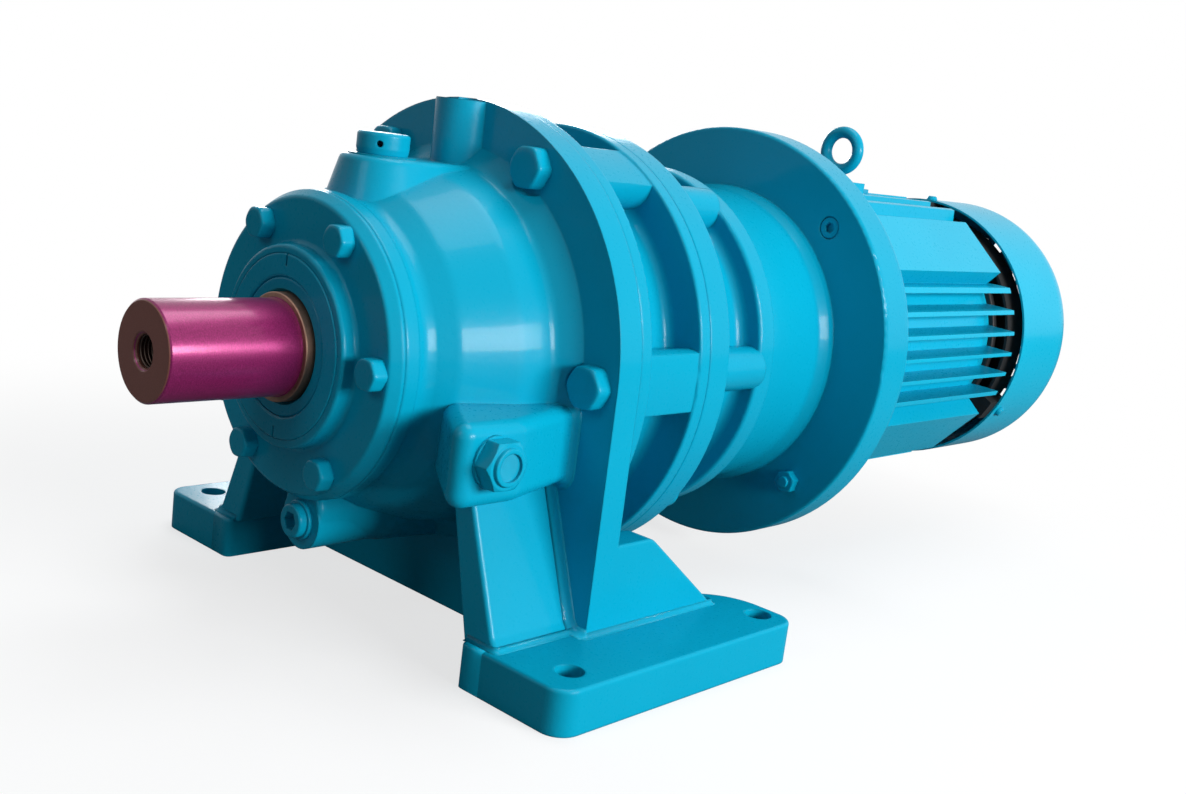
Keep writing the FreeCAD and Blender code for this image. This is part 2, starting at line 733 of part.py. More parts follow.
def output_shaft():
    """Shaft, bearing journals and the carrier disc that holds the output pins, in one forging."""
    body = turned([(shaft_tip_y, 0), (shaft_tip_y, shaft_r - shaft_chamfer),
                   (shaft_tip_y + shaft_chamfer, shaft_r), (sleeve_y - 0.6, shaft_r),
                   (sleeve_y - 0.6, sleeve_seat_r), (front_bearing_y - 3.0, sleeve_seat_r),
                   (front_bearing_y - 3.0, front_bearing_bore_r), (rear_bearing_y - 8, front_bearing_bore_r),
                   (rear_bearing_y - 8, rear_bearing_bore_r), (rear_bearing_end_y, rear_bearing_bore_r),
                   (rear_bearing_end_y, carrier_hub_r), (carrier_front_y, carrier_hub_r, 3.0),
                   (carrier_front_y, carrier_r, 2.0), (carrier_rear_y, carrier_r, 2.0), (carrier_rear_y, 0)])
    tap = rod(shaft_tap_r, shaft_tip_y - 1, shaft_tip_y + shaft_tap_depth)
    countersink = Part.makeCone(shaft_tap_r + 2.0, shaft_tap_r, 2.0, Vector(0, shaft_tip_y, axis_z),
                                Vector(0, 1, 0))
    half = shaft_key_width / 2
    y0 = shaft_tip_y + shaft_key_setback + half
    y1 = shaft_tip_y + shaft_key_setback + shaft_key_length - half
    key = block(-half, half, y0, y1, axis_z - shaft_r - 1, axis_z - shaft_r + shaft_key_depth)
    for y in (y0, y1):
        key = key.fuse(Part.makeCylinder(half, shaft_key_depth + 1, Vector(0, y, axis_z - shaft_r - 1)))
    key = about_axis(key, shaft_key_turn)
    pocket = rod(pilot_bearing_r + seat_gap, carrier_rear_y - pilot_bearing_width - 1, carrier_rear_y + 1)
    relief = rod(input_shaft_r + 6, carrier_rear_y - pilot_bearing_width - 6, carrier_rear_y)
    holes = hole_ring(output_pin_circle_r, output_pin_r, angles(output_pin_count),
                      carrier_front_y + 6, carrier_rear_y + 1)
    for cut in (tap, countersink, key, pocket, relief, holes):
        body = body.cut(cut)
    return body


def shaft_sleeve():
    """Bronze wear sleeve that the oil seal runs on."""
    return turned([(sleeve_y, sleeve_seat_r + seat_gap), (sleeve_y, sleeve_r, 0.8),
                   (front_bearing_y - 3.0, sleeve_r), (front_bearing_y - 3.0, sleeve_seat_r + seat_gap)])


# Cycloidal stage

def cycloid_point(turn, y):
    """Point of the equidistant of an epitrochoid, the curve whose lobes roll round the pins."""
    pins = ring_pin_count
    lobes = pins - 1
    trim_r = ring_pin_r + profile_clearance
    reach = ring_pin_circle_r / (eccentricity * pins)
    slope = math.atan2(math.sin(-lobes * turn), reach - math.cos(-lobes * turn))
    u = (ring_pin_circle_r * math.cos(turn) - trim_r * math.cos(turn + slope)
         - eccentricity * math.cos(pins * turn))
    v = (-ring_pin_circle_r * math.sin(turn) + trim_r * math.sin(turn + slope)
         + eccentricity * math.sin(pins * turn))
    return Vector(v, y, axis_z + u)


def cycloid_wire(y):
    """Closed profile of a disc, one curve from valley to valley for each lobe."""
    lobes = ring_pin_count - 1
    pitch = 2 * math.pi / lobes
    edges = []
    for lobe in range(lobes):
        turns = [pitch * (lobe + k / profile_steps_per_lobe) for k in range(profile_steps_per_lobe + 1)]
        points = [cycloid_point(turn, y) for turn in turns]
        first = Vector(-math.cos(turns[0]), 0, -math.sin(turns[0]))
        last = Vector(-math.cos(turns[-1]), 0, -math.sin(turns[-1]))
        curve = Part.BSplineCurve()
        curve.interpolate(Points=points, InitialTangent=first, FinalTangent=last)
        edges.append(curve.toShape())
    return Part.Wire(edges)


def cycloid_disc(y, side):
    """Disc set off by the eccentricity, up for side = 1 and down for side = -1."""
    shift = Vector(0, 0, side * eccentricity)
    disc = Part.Face(cycloid_wire(y)).extrude(Vector(0, disc_thickness, 0))
    if side < 0:
        disc = about_axis(disc, 180)
    disc.translate(shift)
    holes = hole_ring(output_pin_circle_r, output_bush_r + eccentricity + profile_clearance,
                      angles(output_pin_count), y - 1, y + disc_thickness + 1)
    holes.translate(shift)
    bore = rod(disc_bore_r, y - 1, y + disc_thickness + 1, 0.0, axis_z + side * eccentricity)
    return disc.cut(holes).cut(bore)


def output_pins():
    length = discs_end_y + 2 - (carrier_front_y + 6)
    pin_r = output_pin_r - seat_gap
    pin = turned([(0, 0), (0, pin_r), (length, pin_r, 1.5), (length, 0)], 0.0, 0.0)
    return circle_group(pin, output_pin_circle_r, angles(output_pin_count), carrier_front_y + 6)


def output_bushes():
    y0 = carrier_rear_y + end_gap
    y1 = discs_end_y + 1.5
    bush = tube(output_bush_r, output_pin_r + seat_gap, 0, y1 - y0, 0.0, 0.0)
    return circle_group(bush, output_pin_circle_r, angles(output_pin_count), y0)


def disc_spacer():
    """Ring between the discs, centred by the output bushes."""
    y0 = disc_front_y + disc_thickness + end_gap / 2
    y1 = disc_rear_y - end_gap / 2
    outer = output_pin_circle_r - output_bush_r - seat_gap
    return tube(outer, disc_bore_r + 4, y0, y1)


def ring_pins():
    length = pin_seat_rear_y - pin_seat_front_y - end_gap
    pin_r = ring_pin_r - seat_gap
    pin = turned([(0, 0), (0, pin_r, 1.0), (length, pin_r, 1.0), (length, 0)], 0.0, 0.0)
    return circle_group(pin, ring_pin_circle_r, angles(ring_pin_count), pin_seat_front_y + end_gap / 2)


def eccentric_sleeve():
    """Two journals set off to opposite sides, keyed on the input shaft."""
    front = rod(eccentric_journal_r, disc_front_y, disc_front_y + disc_thickness, 0.0, axis_z + eccentricity)
    rear = rod(eccentric_journal_r, disc_rear_y, discs_end_y, 0.0, axis_z - eccentricity)
    middle = rod(eccentric_journal_r + 7.0, disc_front_y + disc_thickness, disc_rear_y)
    body = joined([front, middle, rear])
    return body.cut(rod(input_shaft_r + seat_gap, disc_front_y - 1, discs_end_y + 1))


def eccentric_rollers():
    rollers = []
    circle_r = (eccentric_journal_r + disc_bore_r) / 2
    for y, side in ((disc_front_y, 1), (disc_rear_y, -1)):
        for angle in angles(eccentric_roller_count):
            x, z = on_circle(circle_r, angle)
            rollers.append(rod(eccentric_roller_r, y + 1, y + disc_thickness - 1, x, z + side * eccentricity))
    return Part.makeCompound(rollers)


def pin_housing():
    """Ring with two flanges, six bolt lugs and half-round seats for the ring pins."""
    y0 = case_flange_rear_y
    y1 = pin_housing_rear_y
    front_in = y0 + pin_housing_front_flange
    rear_in = y1 - pin_housing_rear_flange
    body = turned([(y0, carrier_bore_r), (y0, case_flange_r - 0.6, 1.5), (front_in, case_flange_r - 0.6, 2.0),
                   (front_in, pin_housing_shell_r, 7.0), (rear_in, pin_housing_shell_r, 7.0),
                   (rear_in, pin_housing_rear_r, 2.0), (y1, pin_housing_rear_r, 1.2), (y1, pin_bore_r + 7 + seat_gap),
                   (pin_seat_rear_y, pin_bore_r + 7 + seat_gap), (pin_seat_rear_y, pin_bore_r),
                   (pin_seat_front_y, pin_bore_r), (pin_seat_front_y, carrier_bore_r)])
    lugs = []
    for angle in angles(housing_bolt_count):
        x, z = on_circle(housing_bolt_circle_r, angle)
        lugs.append(rod(lug_r, front_in - 2, rear_in + 2, x, z))
    trim = tube(pin_housing_rear_r - 1.5, pin_bore_r + 10, front_in - 3, rear_in + 3)
    lugs = [lug.common(trim) for lug in lugs]
    body = joined([body] + lugs)
    body = body.cut(hole_ring(ring_pin_circle_r, ring_pin_r, angles(ring_pin_count), pin_seat_front_y, y1 - 1))
    return body.cut(hole_ring(housing_bolt_circle_r, housing_bolt_r + hole_gap, angles(housing_bolt_count),
                              y0 - 1, y1 + 1))


def housing_bolts():
    length = adapter_flange_rear_y - case_flange_front_y - housing_bolt_end_wall - end_gap
    bolt = hex_bolt(housing_bolt_hex, housing_bolt_head, housing_bolt_r, length)
    return circle_group(bolt, housing_bolt_circle_r, angles(housing_bolt_count), case_flange_front_y)


# Bell adapter and input shaft line

def motor_adapter():
    y0 = pin_housing_rear_y
    y1 = adapter_flange_rear_y
    ring_y = adapter_ring_y
    ring_end = adapter_ring_y + adapter_ring_width
    body = turned([(pin_seat_rear_y, input_bearing_r + seat_gap), (pin_seat_rear_y, pin_bore_r + 7),
                   (y0, pin_bore_r + 7), (y0, pin_housing_rear_r, 1.2), (y1, pin_housing_rear_r, 2.5),
                   (y1, adapter_neck_r, 8.0), (ring_y, adapter_neck_r + 3, 8.0), (ring_y, adapter_ring_r, 3.0),
                   (ring_end, adapter_ring_r, 4.0), (ring_end + 6, adapter_barrel_r, 8.0),
                   (adapter_barrel_end_y - 10, adapter_barrel_r, 8.0), (adapter_barrel_end_y, adapter_lip_r, 3.0),
                   (adapter_disc_front_y, adapter_lip_r), (adapter_disc_front_y, adapter_disc_r, 2.5),
                   (adapter_rear_y, adapter_disc_r, 1.5), (adapter_rear_y, motor_spigot_r + seat_gap),
                   (adapter_rear_y - motor_spigot - end_gap, motor_spigot_r + seat_gap),
                   (adapter_rear_y - motor_spigot - end_gap, adapter_cavity_r),
                   (y1 + 12, adapter_cavity_r, 14.0), (y1, input_seal_r + 14),
                   (y1, input_seal_r + seat_gap), (input_seal_y, input_seal_r + seat_gap),
                   (input_seal_y, input_journal_r + 4), (input_bearing_end_y, input_journal_r + 4),
                   (input_bearing_end_y, input_bearing_r + seat_gap)])
    ribs = []
    rib_trim = tube(adapter_rib_circle_r + adapter_rib_r, adapter_cavity_r + 4, y1 - 3, ring_y + 3)
    for angle in angles(housing_bolt_count):
        x, z = on_circle(adapter_rib_circle_r, angle)
        ribs.append(rod(adapter_rib_r, y1 - 2, ring_y + 2, x, z).common(rib_trim))
    body = joined([body] + ribs)
    body = body.cut(hole_ring(housing_bolt_circle_r, housing_bolt_r + seat_gap, angles(housing_bolt_count),
                              y0 - 1, y1 - housing_bolt_end_wall))
    body = body.cut(hole_ring(motor_bolt_circle_r, motor_socket_screw_r + hole_gap, (45.0, 135.0),
                              adapter_disc_front_y - 1, adapter_disc_front_y + motor_socket_depth))
    return body.cut(hole_ring(motor_bolt_circle_r, motor_bolt_r + hole_gap, angles(motor_bolt_count, 45.0),
                              adapter_disc_front_y - 1, adapter_rear_y + 1))


def input_shaft():
    y0 = carrier_rear_y - pilot_bearing_width - 4
    return turned([(y0, 0), (y0, input_shaft_r, 1.0), (discs_end_y + 2, input_shaft_r),
                   (discs_end_y + 2, input_journal_r), (adapter_flange_rear_y + 8, input_journal_r, 1.0),
                   (adapter_flange_rear_y + 8, motor_shaft_r), (input_shaft_end_y, motor_shaft_r, 1.0),
                   (input_shaft_end_y, 0)])


def shaft_coupling():
    """Rigid sleeve that joins the input shaft's end to the motor shaft's end."""
    y1 = adapter_rear_y - coupling_end_gap
    return turned([(coupling_front_y, motor_shaft_r + seat_gap, 1.0), (coupling_front_y, coupling_r, 3.0),
                   (y1, coupling_r, 3.0), (y1, motor_shaft_r + seat_gap, 1.0)])


def input_oil_seal():
    lip_r = input_journal_r + running_gap
    return turned([(input_seal_y, lip_r + 2.5), (input_seal_y, input_seal_r), (adapter_flange_rear_y, input_seal_r),
                   (adapter_flange_rear_y, lip_r + 2.0), (input_seal_y + 5.5, lip_r), (input_seal_y + 4.0, lip_r)])


# Motor

def motor_flange_shield():
    """Drive-end shield: flange plate, spigot into the adapter and bearing seat."""
    y0 = adapter_rear_y
    y1 = motor_flange_rear_y
    hub_end = motor_front_bearing_y + motor_bearing_width
    body = turned([(y0 - motor_spigot, motor_journal_r + 2), (y0 - motor_spigot, motor_spigot_r, 1.5),
                   (y0, motor_spigot_r), (y0, motor_flange_r, 2.0), (y1 - 4, motor_flange_r, 5.0),
                   (y1, fin_tip_r + 8, 3.0), (y1, frame_bore_r), (y1 + 8, frame_bore_r - seat_gap),
                   (y1 + 8, frame_bore_r - 8), (y1 - 6, frame_bore_r - 16, 4.0),
                   (y1 - 8, motor_bearing_r + 12, 4.0), (hub_end, motor_bearing_r + 10, 2.0),
                   (hub_end, motor_bearing_r + seat_gap), (motor_front_bearing_y, motor_bearing_r + seat_gap),
                   (motor_front_bearing_y, motor_journal_r + 2)])
    return body.cut(hole_ring(motor_bolt_circle_r, motor_bolt_r + seat_gap, angles(motor_bolt_count, 45.0),
                              y0 - 1, y1 + 6))


def motor_flange_bolts():
    """Hex bolts in the lower holes; socket screws sunk into the disc in the upper ones."""
    length = adapter_disc + motor_flange - 3
    bolt = hex_bolt(motor_bolt_hex, motor_bolt_head, motor_bolt_r, length)
    tip = turned([(-motor_bolt_head - 2.5, 0), (-motor_bolt_head - 2.5, motor_bolt_hex * 0.28, 0.8),
                  (-motor_bolt_head + 1, motor_bolt_hex * 0.28), (-motor_bolt_head + 1, 0)], 0.0, 0.0)
    screw = turned([(0.5, 0), (0.5, motor_socket_screw_r, 0.8), (motor_socket_depth, motor_socket_screw_r),
                    (motor_socket_depth, motor_bolt_r), (length, motor_bolt_r), (length, 0)], 0.0, 0.0)
    socket = hex_prism(motor_socket_hex, motor_socket_depth * 0.6)
    screws = circle_group(screw.cut(socket), motor_bolt_circle_r, (45.0, 135.0), adapter_disc_front_y)
    bolts = circle_group(bolt.fuse(tip).removeSplitter(), motor_bolt_circle_r, (225.0, 315.0), adapter_disc_front_y)
    return Part.makeCompound(screws.Solids + bolts.Solids)


def fin(y_front, y_rear):
    """One fin along +Z from inside the shell, thicker at its root."""
    root = frame_bore_r - frame_wall
    wire = rounded_wire([(-fin_root_thickness / 2, root), (fin_root_thickness / 2, root),
                         (fin_root_thickness / 2, frame_shell_r - 2), (fin_tip_thickness / 2, fin_tip_r + 1),
                         (-fin_tip_thickness / 2, fin_tip_r + 1), (-fin_root_thickness / 2, frame_shell_r - 2)],
                        lambda p: Vector(p.x, y_front, p.y))
    return Part.Face(wire).extrude(Vector(0, y_rear - y_front, 0))


def frame_fins():
    """Side fins lie level, top and bottom fins stand; each is trimmed to the fin circle."""
    y0 = motor_flange_rear_y
    y1 = frame_rear_y - 8
    reach = tube(fin_tip_r, frame_bore_r + 3, y0, frame_rear_y)
    side = fin(y0, y1)
    side.rotate(Vector(0, 0, 0), Vector(0, 1, 0), 90)
    fins = []
    for k in range(fin_count_side):
        z = axis_z + fin_offset_z + (k - (fin_count_side - 1) / 2) * fin_pitch
        right = side.copy()
        right.translate(Vector(0, 0, z))
        fins += [right.common(reach), mirrored(right).common(reach)]
    for k in range(top_fin_count):
        x = (k - (top_fin_count - 1) / 2) * fin_pitch
        step = 14.0 * abs(k - (top_fin_count - 1) / 2)
        up = fin(y0, y1 - 22 + step)
        up.translate(Vector(x, 0, axis_z))
        down = about_axis(up, 180)
        fins += [up.common(reach), down.common(reach)]
    return fins


def corner_blocks():
    """Four flat-faced blocks on the diagonals, drilled for the shield screws."""
    y0 = motor_flange_rear_y
    flat = fin_tip_r - 3.0
    half = flat * math.tan(math.radians(corner_block_half_angle))
    base = block(frame_bore_r + 3, flat, y0, frame_rear_y - 20, axis_z - half, axis_z + half)
    return [about_axis(base, angle) for angle in angles(4, 47.0)]


def motor_frame():
    y0 = motor_flange_rear_y
    y1 = frame_rear_y
    shell_end = turned([(y1 - frame_shell_setback, frame_bore_r), (y1 - frame_shell_setback, frame_shell_r),
                        (y1, frame_bore_r + 3.5), (y1, frame_bore_r)])
    shell = tube(frame_shell_r, frame_bore_r, y0, y1 - frame_shell_setback).fuse(shell_end)
    pad = slab([(-frame_pad_width / 2, eye_ring_y - 24, 10.0), (frame_pad_width / 2, eye_ring_y - 24, 10.0),
                (frame_pad_width / 2, earth_screw_y + 14, 10.0), (-frame_pad_width / 2, earth_screw_y + 14, 10.0)],
               axis_z + frame_bore_r + 3, axis_z + frame_pad_r)
    step = block(-40, 40, eye_ring_y + 24, earth_screw_y + 20, axis_z + fin_tip_r - 1, axis_z + frame_pad_r + 1)
    pad = pad.cut(step)
    box_seat = block(box_seat_x, -frame_bore_r - 3, box_y, box_y + box_length,
                     axis_z - box_height / 2, axis_z + box_height / 2)
    body = joined([shell, pad, box_seat] + frame_fins() + corner_blocks())
    body = body.cut(rod(frame_bore_r, y0 - 1, y1 + 1))
    body = body.cut(block(-fin_tip_r - 1, box_seat_x, box_y - 4, box_y + box_length + 4,
                          axis_z - box_height / 2 - 4, axis_z + box_height / 2 + 4))
    body = body.cut(Part.makeCylinder(8.0, 10, Vector(0, earth_screw_y, axis_z + fin_tip_r - 1)))
    window = block(box_seat_x - 6, -frame_bore_r + 30, box_y + 30, box_y + box_length - 30, axis_z - 22, axis_z + 22)
    body = body.cut(window)
    tap_z = axis_z + frame_pad_r - 20
    body = body.cut(Part.makeCylinder(eye_shank_r + seat_gap, 30, Vector(0, eye_ring_y, tap_z)))
    return body.cut(Part.makeCylinder(4.0 + seat_gap, 20, Vector(0, earth_screw_y, axis_z + fin_tip_r - 13)))


def stator_core():
    return tube(frame_bore_r - seat_gap, stator_bore_r, stator_y, stator_end_y)


def stator_windings():
    """End turns at both ends of the core, as two rounded rings."""
    rings = []
    for y0, y1 in ((stator_y - winding_reach, stator_y), (stator_end_y, stator_end_y + winding_reach)):
        rings.append(turned([(y0, stator_bore_r + 6, 6.0), (y0, frame_bore_r - 8, 8.0),
                             (y1, frame_bore_r - 8), (y1, stator_bore_r + 6)]))
    return Part.makeCompound(rings)


def rotor_core():
    """Laminated core with a short-circuit ring at each end."""
    y0 = stator_y - rotor_end_ring
    y1 = stator_end_y + rotor_end_ring
    return turned([(y0, motor_journal_r + 8), (y0, rotor_r - 6, 3.0), (stator_y, rotor_r - 6), (stator_y, rotor_r),
                   (stator_end_y, rotor_r), (stator_end_y, rotor_r - 6), (y1, rotor_r - 6, 3.0),
                   (y1, motor_journal_r + 8)])


def motor_shaft():
    tip = adapter_rear_y - motor_shaft_reach
    front = motor_front_bearing_y
    rear_end = motor_rear_bearing_y + motor_bearing_width
    fan_end = fan_y + 36
    core_r = motor_journal_r + 8 - seat_gap
    y0 = front + motor_bearing_width
    return turned([(tip, 0), (tip, motor_shaft_r, 1.5), (front - 2, motor_shaft_r), (front - 2, motor_journal_r),
                   (y0, motor_journal_r), (y0, motor_journal_r + 5), (stator_y - rotor_end_ring, motor_journal_r + 5),
                   (stator_y - rotor_end_ring, core_r), (stator_end_y + rotor_end_ring, core_r),
                   (stator_end_y + rotor_end_ring, motor_journal_r + 5), (motor_rear_bearing_y, motor_journal_r + 5),
                   (motor_rear_bearing_y, motor_journal_r), (rear_end, motor_journal_r),
                   (rear_end, motor_shaft_r - 3), (fan_end, motor_shaft_r - 3, 1.0), (fan_end, 0)])


def rear_end_shield():
    """Shield spigoted into the frame, with three arms that hold the cowl and a ring that leads the air."""
    y0 = frame_rear_y
    y1 = y0 + rear_shield_thickness
    hub_front = motor_rear_bearing_y - 4
    hub_rear = motor_rear_bearing_y + motor_bearing_width
    body = turned([(hub_front, motor_bearing_r + seat_gap), (hub_front, rear_shield_hub_r, 2.0),
                   (y0 + 2, rear_shield_hub_r + 2, 4.0), (y0 + 2, frame_bore_r - 8),
                   (y0 - 7, frame_bore_r - 6), (y0 - 7, frame_bore_r - seat_gap), (y0, frame_bore_r - seat_gap),
                   (y0, frame_shell_r, 1.5), (y1 - 3, frame_shell_r, 4.0), (y1, frame_shell_r - 10, 5.0),
                   (hub_rear + 4, rear_shield_hub_r - 2, 4.0), (hub_rear + 4, motor_shaft_r + 1),
                   (hub_rear, motor_shaft_r + 1), (hub_rear, motor_bearing_r + seat_gap)])
    arm_end = cowl_screw_y + cowl_arm_past_screw
    foot = block(frame_shell_r - 12, cowl_inner_r, y0, y0 + rear_shield_thickness,
                 axis_z - cowl_arm_half, axis_z + cowl_arm_half)
    reach = block(fan_tip_r + fan_tip_room, cowl_inner_r, y0, arm_end, axis_z - cowl_arm_half, axis_z + cowl_arm_half)
    arm = foot.fuse(reach).common(rod(cowl_inner_r - seat_gap, y0, arm_end))
    tap_depth = cowl_screw_length + 2
    tap = Part.makeCylinder(cowl_screw_r * 0.75 + seat_gap, tap_depth,
                            Vector(cowl_r - tap_depth, cowl_screw_y, axis_z), Vector(1, 0, 0))
    arm = arm.cut(tap)
    guide_r = fan_tip_r + fan_tip_room + 1.0
    air_guide = tube(guide_r + air_guide_wall, guide_r, y0 + rear_shield_thickness / 2,
                     fan_y + air_guide_past_fan_back)
    return joined([body, air_guide] + [about_axis(arm, angle) for angle in angles(3, 90.0)])


def fan_cowl():
    """Drawn sheet cowl with a rounded rear edge and rings of round air holes."""
    wall = cowl_wall
    y1 = cowl_end_y
    body = turned([(cowl_front_y, cowl_r - wall), (cowl_front_y, cowl_r), (y1, cowl_r, cowl_shoulder_r),
                   (y1, 0), (y1 - wall, 0), (y1 - wall, cowl_r - wall, cowl_shoulder_r - wall)])
    holes = []
    for ring in range(1, cowl_hole_rings + 1):
        radius = ring * cowl_hole_pitch
        for angle in angles(6 * ring, 4.0):
            x, z = on_circle(radius, angle)
            holes.append(rod(cowl_hole_r, y1 - cowl_shoulder_r * 0.3, y1 + 1, x, z))
    body = body.cut(Part.makeCompound(holes))
    slots = []
    for angle in angles(3, 90.0):
        slot = Part.makeCylinder(cowl_screw_r, 4 * wall, Vector(cowl_r - 3 * wall, cowl_screw_y, axis_z),
                                 Vector(1, 0, 0))
        slots.append(about_axis(slot, angle))
    return body.cut(Part.makeCompound(slots))


def cowl_screws():
    shank_r = cowl_screw_r * 0.75
    screw = turned([(-cowl_screw_r, 0), (-cowl_screw_r, cowl_screw_r * 1.1, cowl_screw_r / 2),
                    (0, cowl_screw_r * 1.5), (0, shank_r), (cowl_screw_length, shank_r), (cowl_screw_length, 0)],
                   0.0, 0.0)
    copies = []
    for angle in angles(3, 90.0):
        placed = pointing(screw, Vector(cowl_r, cowl_screw_y, axis_z), Vector(-1, 0, 0))
        copies.append(about_axis(placed, angle))
    return Part.makeCompound(copies)


def cooling_fan():
    """Radial fan: hub, back disc and straight blades."""
    hub_r = motor_shaft_r - 3
    y0 = fan_y
    body = turned([(y0, hub_r + seat_gap), (y0, fan_hub_r, 2.0), (y0 + 6, fan_disc_r * 0.5, 12.0),
                   (y0 + 12, fan_disc_r), (y0 + 16, fan_disc_r), (y0 + 11, fan_disc_r * 0.5, 12.0),
                   (y0 + 30, fan_hub_r, 3.0), (y0 + 30, hub_r + seat_gap)])
    wire = rounded_wire([(fan_hub_r - 2, y0 + 8), (fan_disc_r, y0 + 13), (fan_tip_r, y0 + 4, 6.0),
                         (fan_tip_r, y0 + fan_blade_height, 10.0), (fan_hub_r + 26, y0 + fan_blade_height, 10.0),
                         (fan_hub_r - 2, y0 + 26)],
                        lambda p: Vector(p.x, p.y, axis_z - fan_blade_wall / 2))
    blade = Part.Face(wire).extrude(Vector(0, 0, fan_blade_wall))
    return joined([body] + [about_axis(blade, angle) for angle in angles(fan_blade_count)])


def eye_bolt():
    """Lifting eye, its ring across the motor axis."""
    ring = Part.makeTorus(eye_ring_r, eye_wire_r, Vector(0, eye_ring_y, eye_ring_z), Vector(0, 1, 0))
    pad_z = axis_z + frame_pad_r
    collar = Part.makeCylinder(11.0, 4.0, Vector(0, eye_ring_y, pad_z))
    neck = Part.makeCone(9.0, 6.0, eye_ring_z - eye_ring_r - pad_z, Vector(0, eye_ring_y, pad_z))
    shank = Part.makeCylinder(eye_shank_r, 16.0, Vector(0, eye_ring_y, pad_z - 16))
    return joined([ring, collar, neck, shank])


def earth_screw():
    screw = hex_bolt(11.0, 4.5, 4.0, 12.0)
    return pointing(screw, Vector(0, earth_screw_y, axis_z + fin_tip_r - 1), Vector(0, 0, -1))


# Terminal box

def box_outline(grow):
    y0 = box_y - grow
    y1 = box_y + box_length + grow
    z0 = axis_z - box_height / 2 - grow
    z1 = axis_z + box_height / 2 + grow
    return [(y0, z0, 10.0), (y1, z0, 10.0), (y1, z1, 10.0), (y0, z1, 10.0)]


def terminal_box():
    x0 = box_seat_x
    x1 = x0 - box_depth
    outer = Part.Face(rounded_wire(box_outline(0.0), lambda p: Vector(x0, p.x, p.y))).extrude(Vector(x1 - x0, 0, 0))
    inner = Part.Face(rounded_wire(box_outline(-box_wall), lambda p: Vector(x0 - box_wall, p.x, p.y)))
    inner = inner.extrude(Vector(x1 - x0, 0, 0))
    passage = block(x1, x0 + 1, box_y + 34, box_y + box_length - 34, axis_z - 18, axis_z + 18)
    entry = Part.makeCylinder(gland_r - 3, 3 * box_wall,
                              Vector((x0 + x1) / 2, box_y + box_length / 2, axis_z - box_height / 2 - box_wall))
    return outer.cut(inner).cut(passage).cut(entry)


def terminal_box_lid():
    x0 = box_seat_x - box_depth
    lid = Part.Face(rounded_wire(box_outline(1.5), lambda p: Vector(x0, p.x, p.y))).extrude(Vector(-box_lid, 0, 0))
    rim = [e for e in lid.Edges if e.BoundBox.XMax < x0 - box_lid + 0.01]
    lid = lid.makeFillet(3.0, rim)
    for y, z in lid_screw_places():
        lid = lid.cut(Part.makeCylinder(lid_screw_r / 2 + seat_gap, box_lid + 2, Vector(x0 - box_lid - 1, y, z),
                                        Vector(1, 0, 0)))
    return lid


def lid_screw_places():
    """(y, z) of the four screws near the corners of the lid."""
    y_near, y_far = box_y + lid_screw_inset, box_y + box_length - lid_screw_inset
    z_half = box_height / 2 - lid_screw_inset
    return [(y, axis_z + z) for y in (y_near, y_far) for z in (-z_half, z_half)]


def lid_screws():
    """Slotted pan-head screws, ending in the box's corners."""
    x0 = box_seat_x - box_depth - box_lid
    screw = turned([(-lid_screw_head, 0), (-lid_screw_head, lid_screw_r, 1.5), (0, lid_screw_r),
                    (0, lid_screw_r / 2), (box_lid - 1, lid_screw_r / 2), (box_lid - 1, 0)], 0.0, 0.0)
    slot = block(-lid_screw_r, lid_screw_r, -lid_screw_head - 1, -lid_screw_head + 1.4, -0.6, 0.6)
    screw = screw.cut(slot)
    return Part.makeCompound([pointing(screw, Vector(x0, y, z), Vector(1, 0, 0)) for y, z in lid_screw_places()])


def cable_gland():
    x = box_seat_x - box_depth / 2
    z = axis_z - box_height / 2
    gland = hex_bolt(gland_r * 1.9, 9.0, gland_r - 3 - seat_gap, 12.0)
    dome = turned([(-9, gland_r - 7), (-9, gland_r - 1), (-gland_length + 4, gland_r - 2, 3.0),
                   (-gland_length, gland_r - 5), (-gland_length, gland_r - 7)], 0.0, 0.0)
    gland = gland.cut(rod(gland_r - 7, -12, 14, 0.0, 0.0))
    return pointing(gland.fuse(dome), Vector(x, box_y + box_length / 2, z), Vector(0, 0, 1))


# Plugs

def filler_plug():
    """Vented filler cap with a cross hole in its side."""
    z = top_boss_z + filler_seat_height
    cap = pointing(turned([(0, 0), (0, filler_cap_r - 1), (4, filler_cap_r, 1.0),
                           (filler_cap_height, filler_cap_r, 2.5), (filler_cap_height, 0)], 0.0, 0.0),
                   Vector(0, filler_y, z), Vector(0, 0, 1))
    stem = Part.makeCylinder(filler_thread_r, filler_thread_length, Vector(0, filler_y, z - filler_thread_length))
    vent = Part.makeCylinder(vent_hole_r, filler_cap_r + 2, Vector(0, filler_y, z + filler_cap_height / 2),
                             Vector(1, -1, 0))
    return cap.fuse(stem).cut(vent)


def side_plug(side, lens_recess):
    bolt = hex_bolt(side_plug_hex, side_plug_head, side_plug_thread_r, side_plug_depth)
    if lens_recess:
        bolt = bolt.cut(rod(sight_lens_r + seat_gap, -side_plug_head - 4, -side_plug_head + 4, 0.0, 0.0))
        rim_y = -side_plug_head - sight_rim_height
        rim_r = sight_lens_r + sight_rim_wall
        rim = turned([(rim_y, sight_lens_r + seat_gap), (rim_y, rim_r, 0.8), (-side_plug_head + 1, rim_r + 0.5),
                      (-side_plug_head + 1, sight_lens_r + seat_gap)], 0.0, 0.0)
        bolt = bolt.fuse(rim)
    seat = side * (side_boss_x + washer_thickness)
    return pointing(bolt, Vector(seat, side_plug_y, side_plug_z), Vector(-side, 0, 0))


def sight_lens():
    x0 = side_boss_x + washer_thickness + side_plug_head - 4
    return Part.makeCylinder(sight_lens_r, sight_lens_thickness, Vector(x0, side_plug_y, side_plug_z), Vector(1, 0, 0))


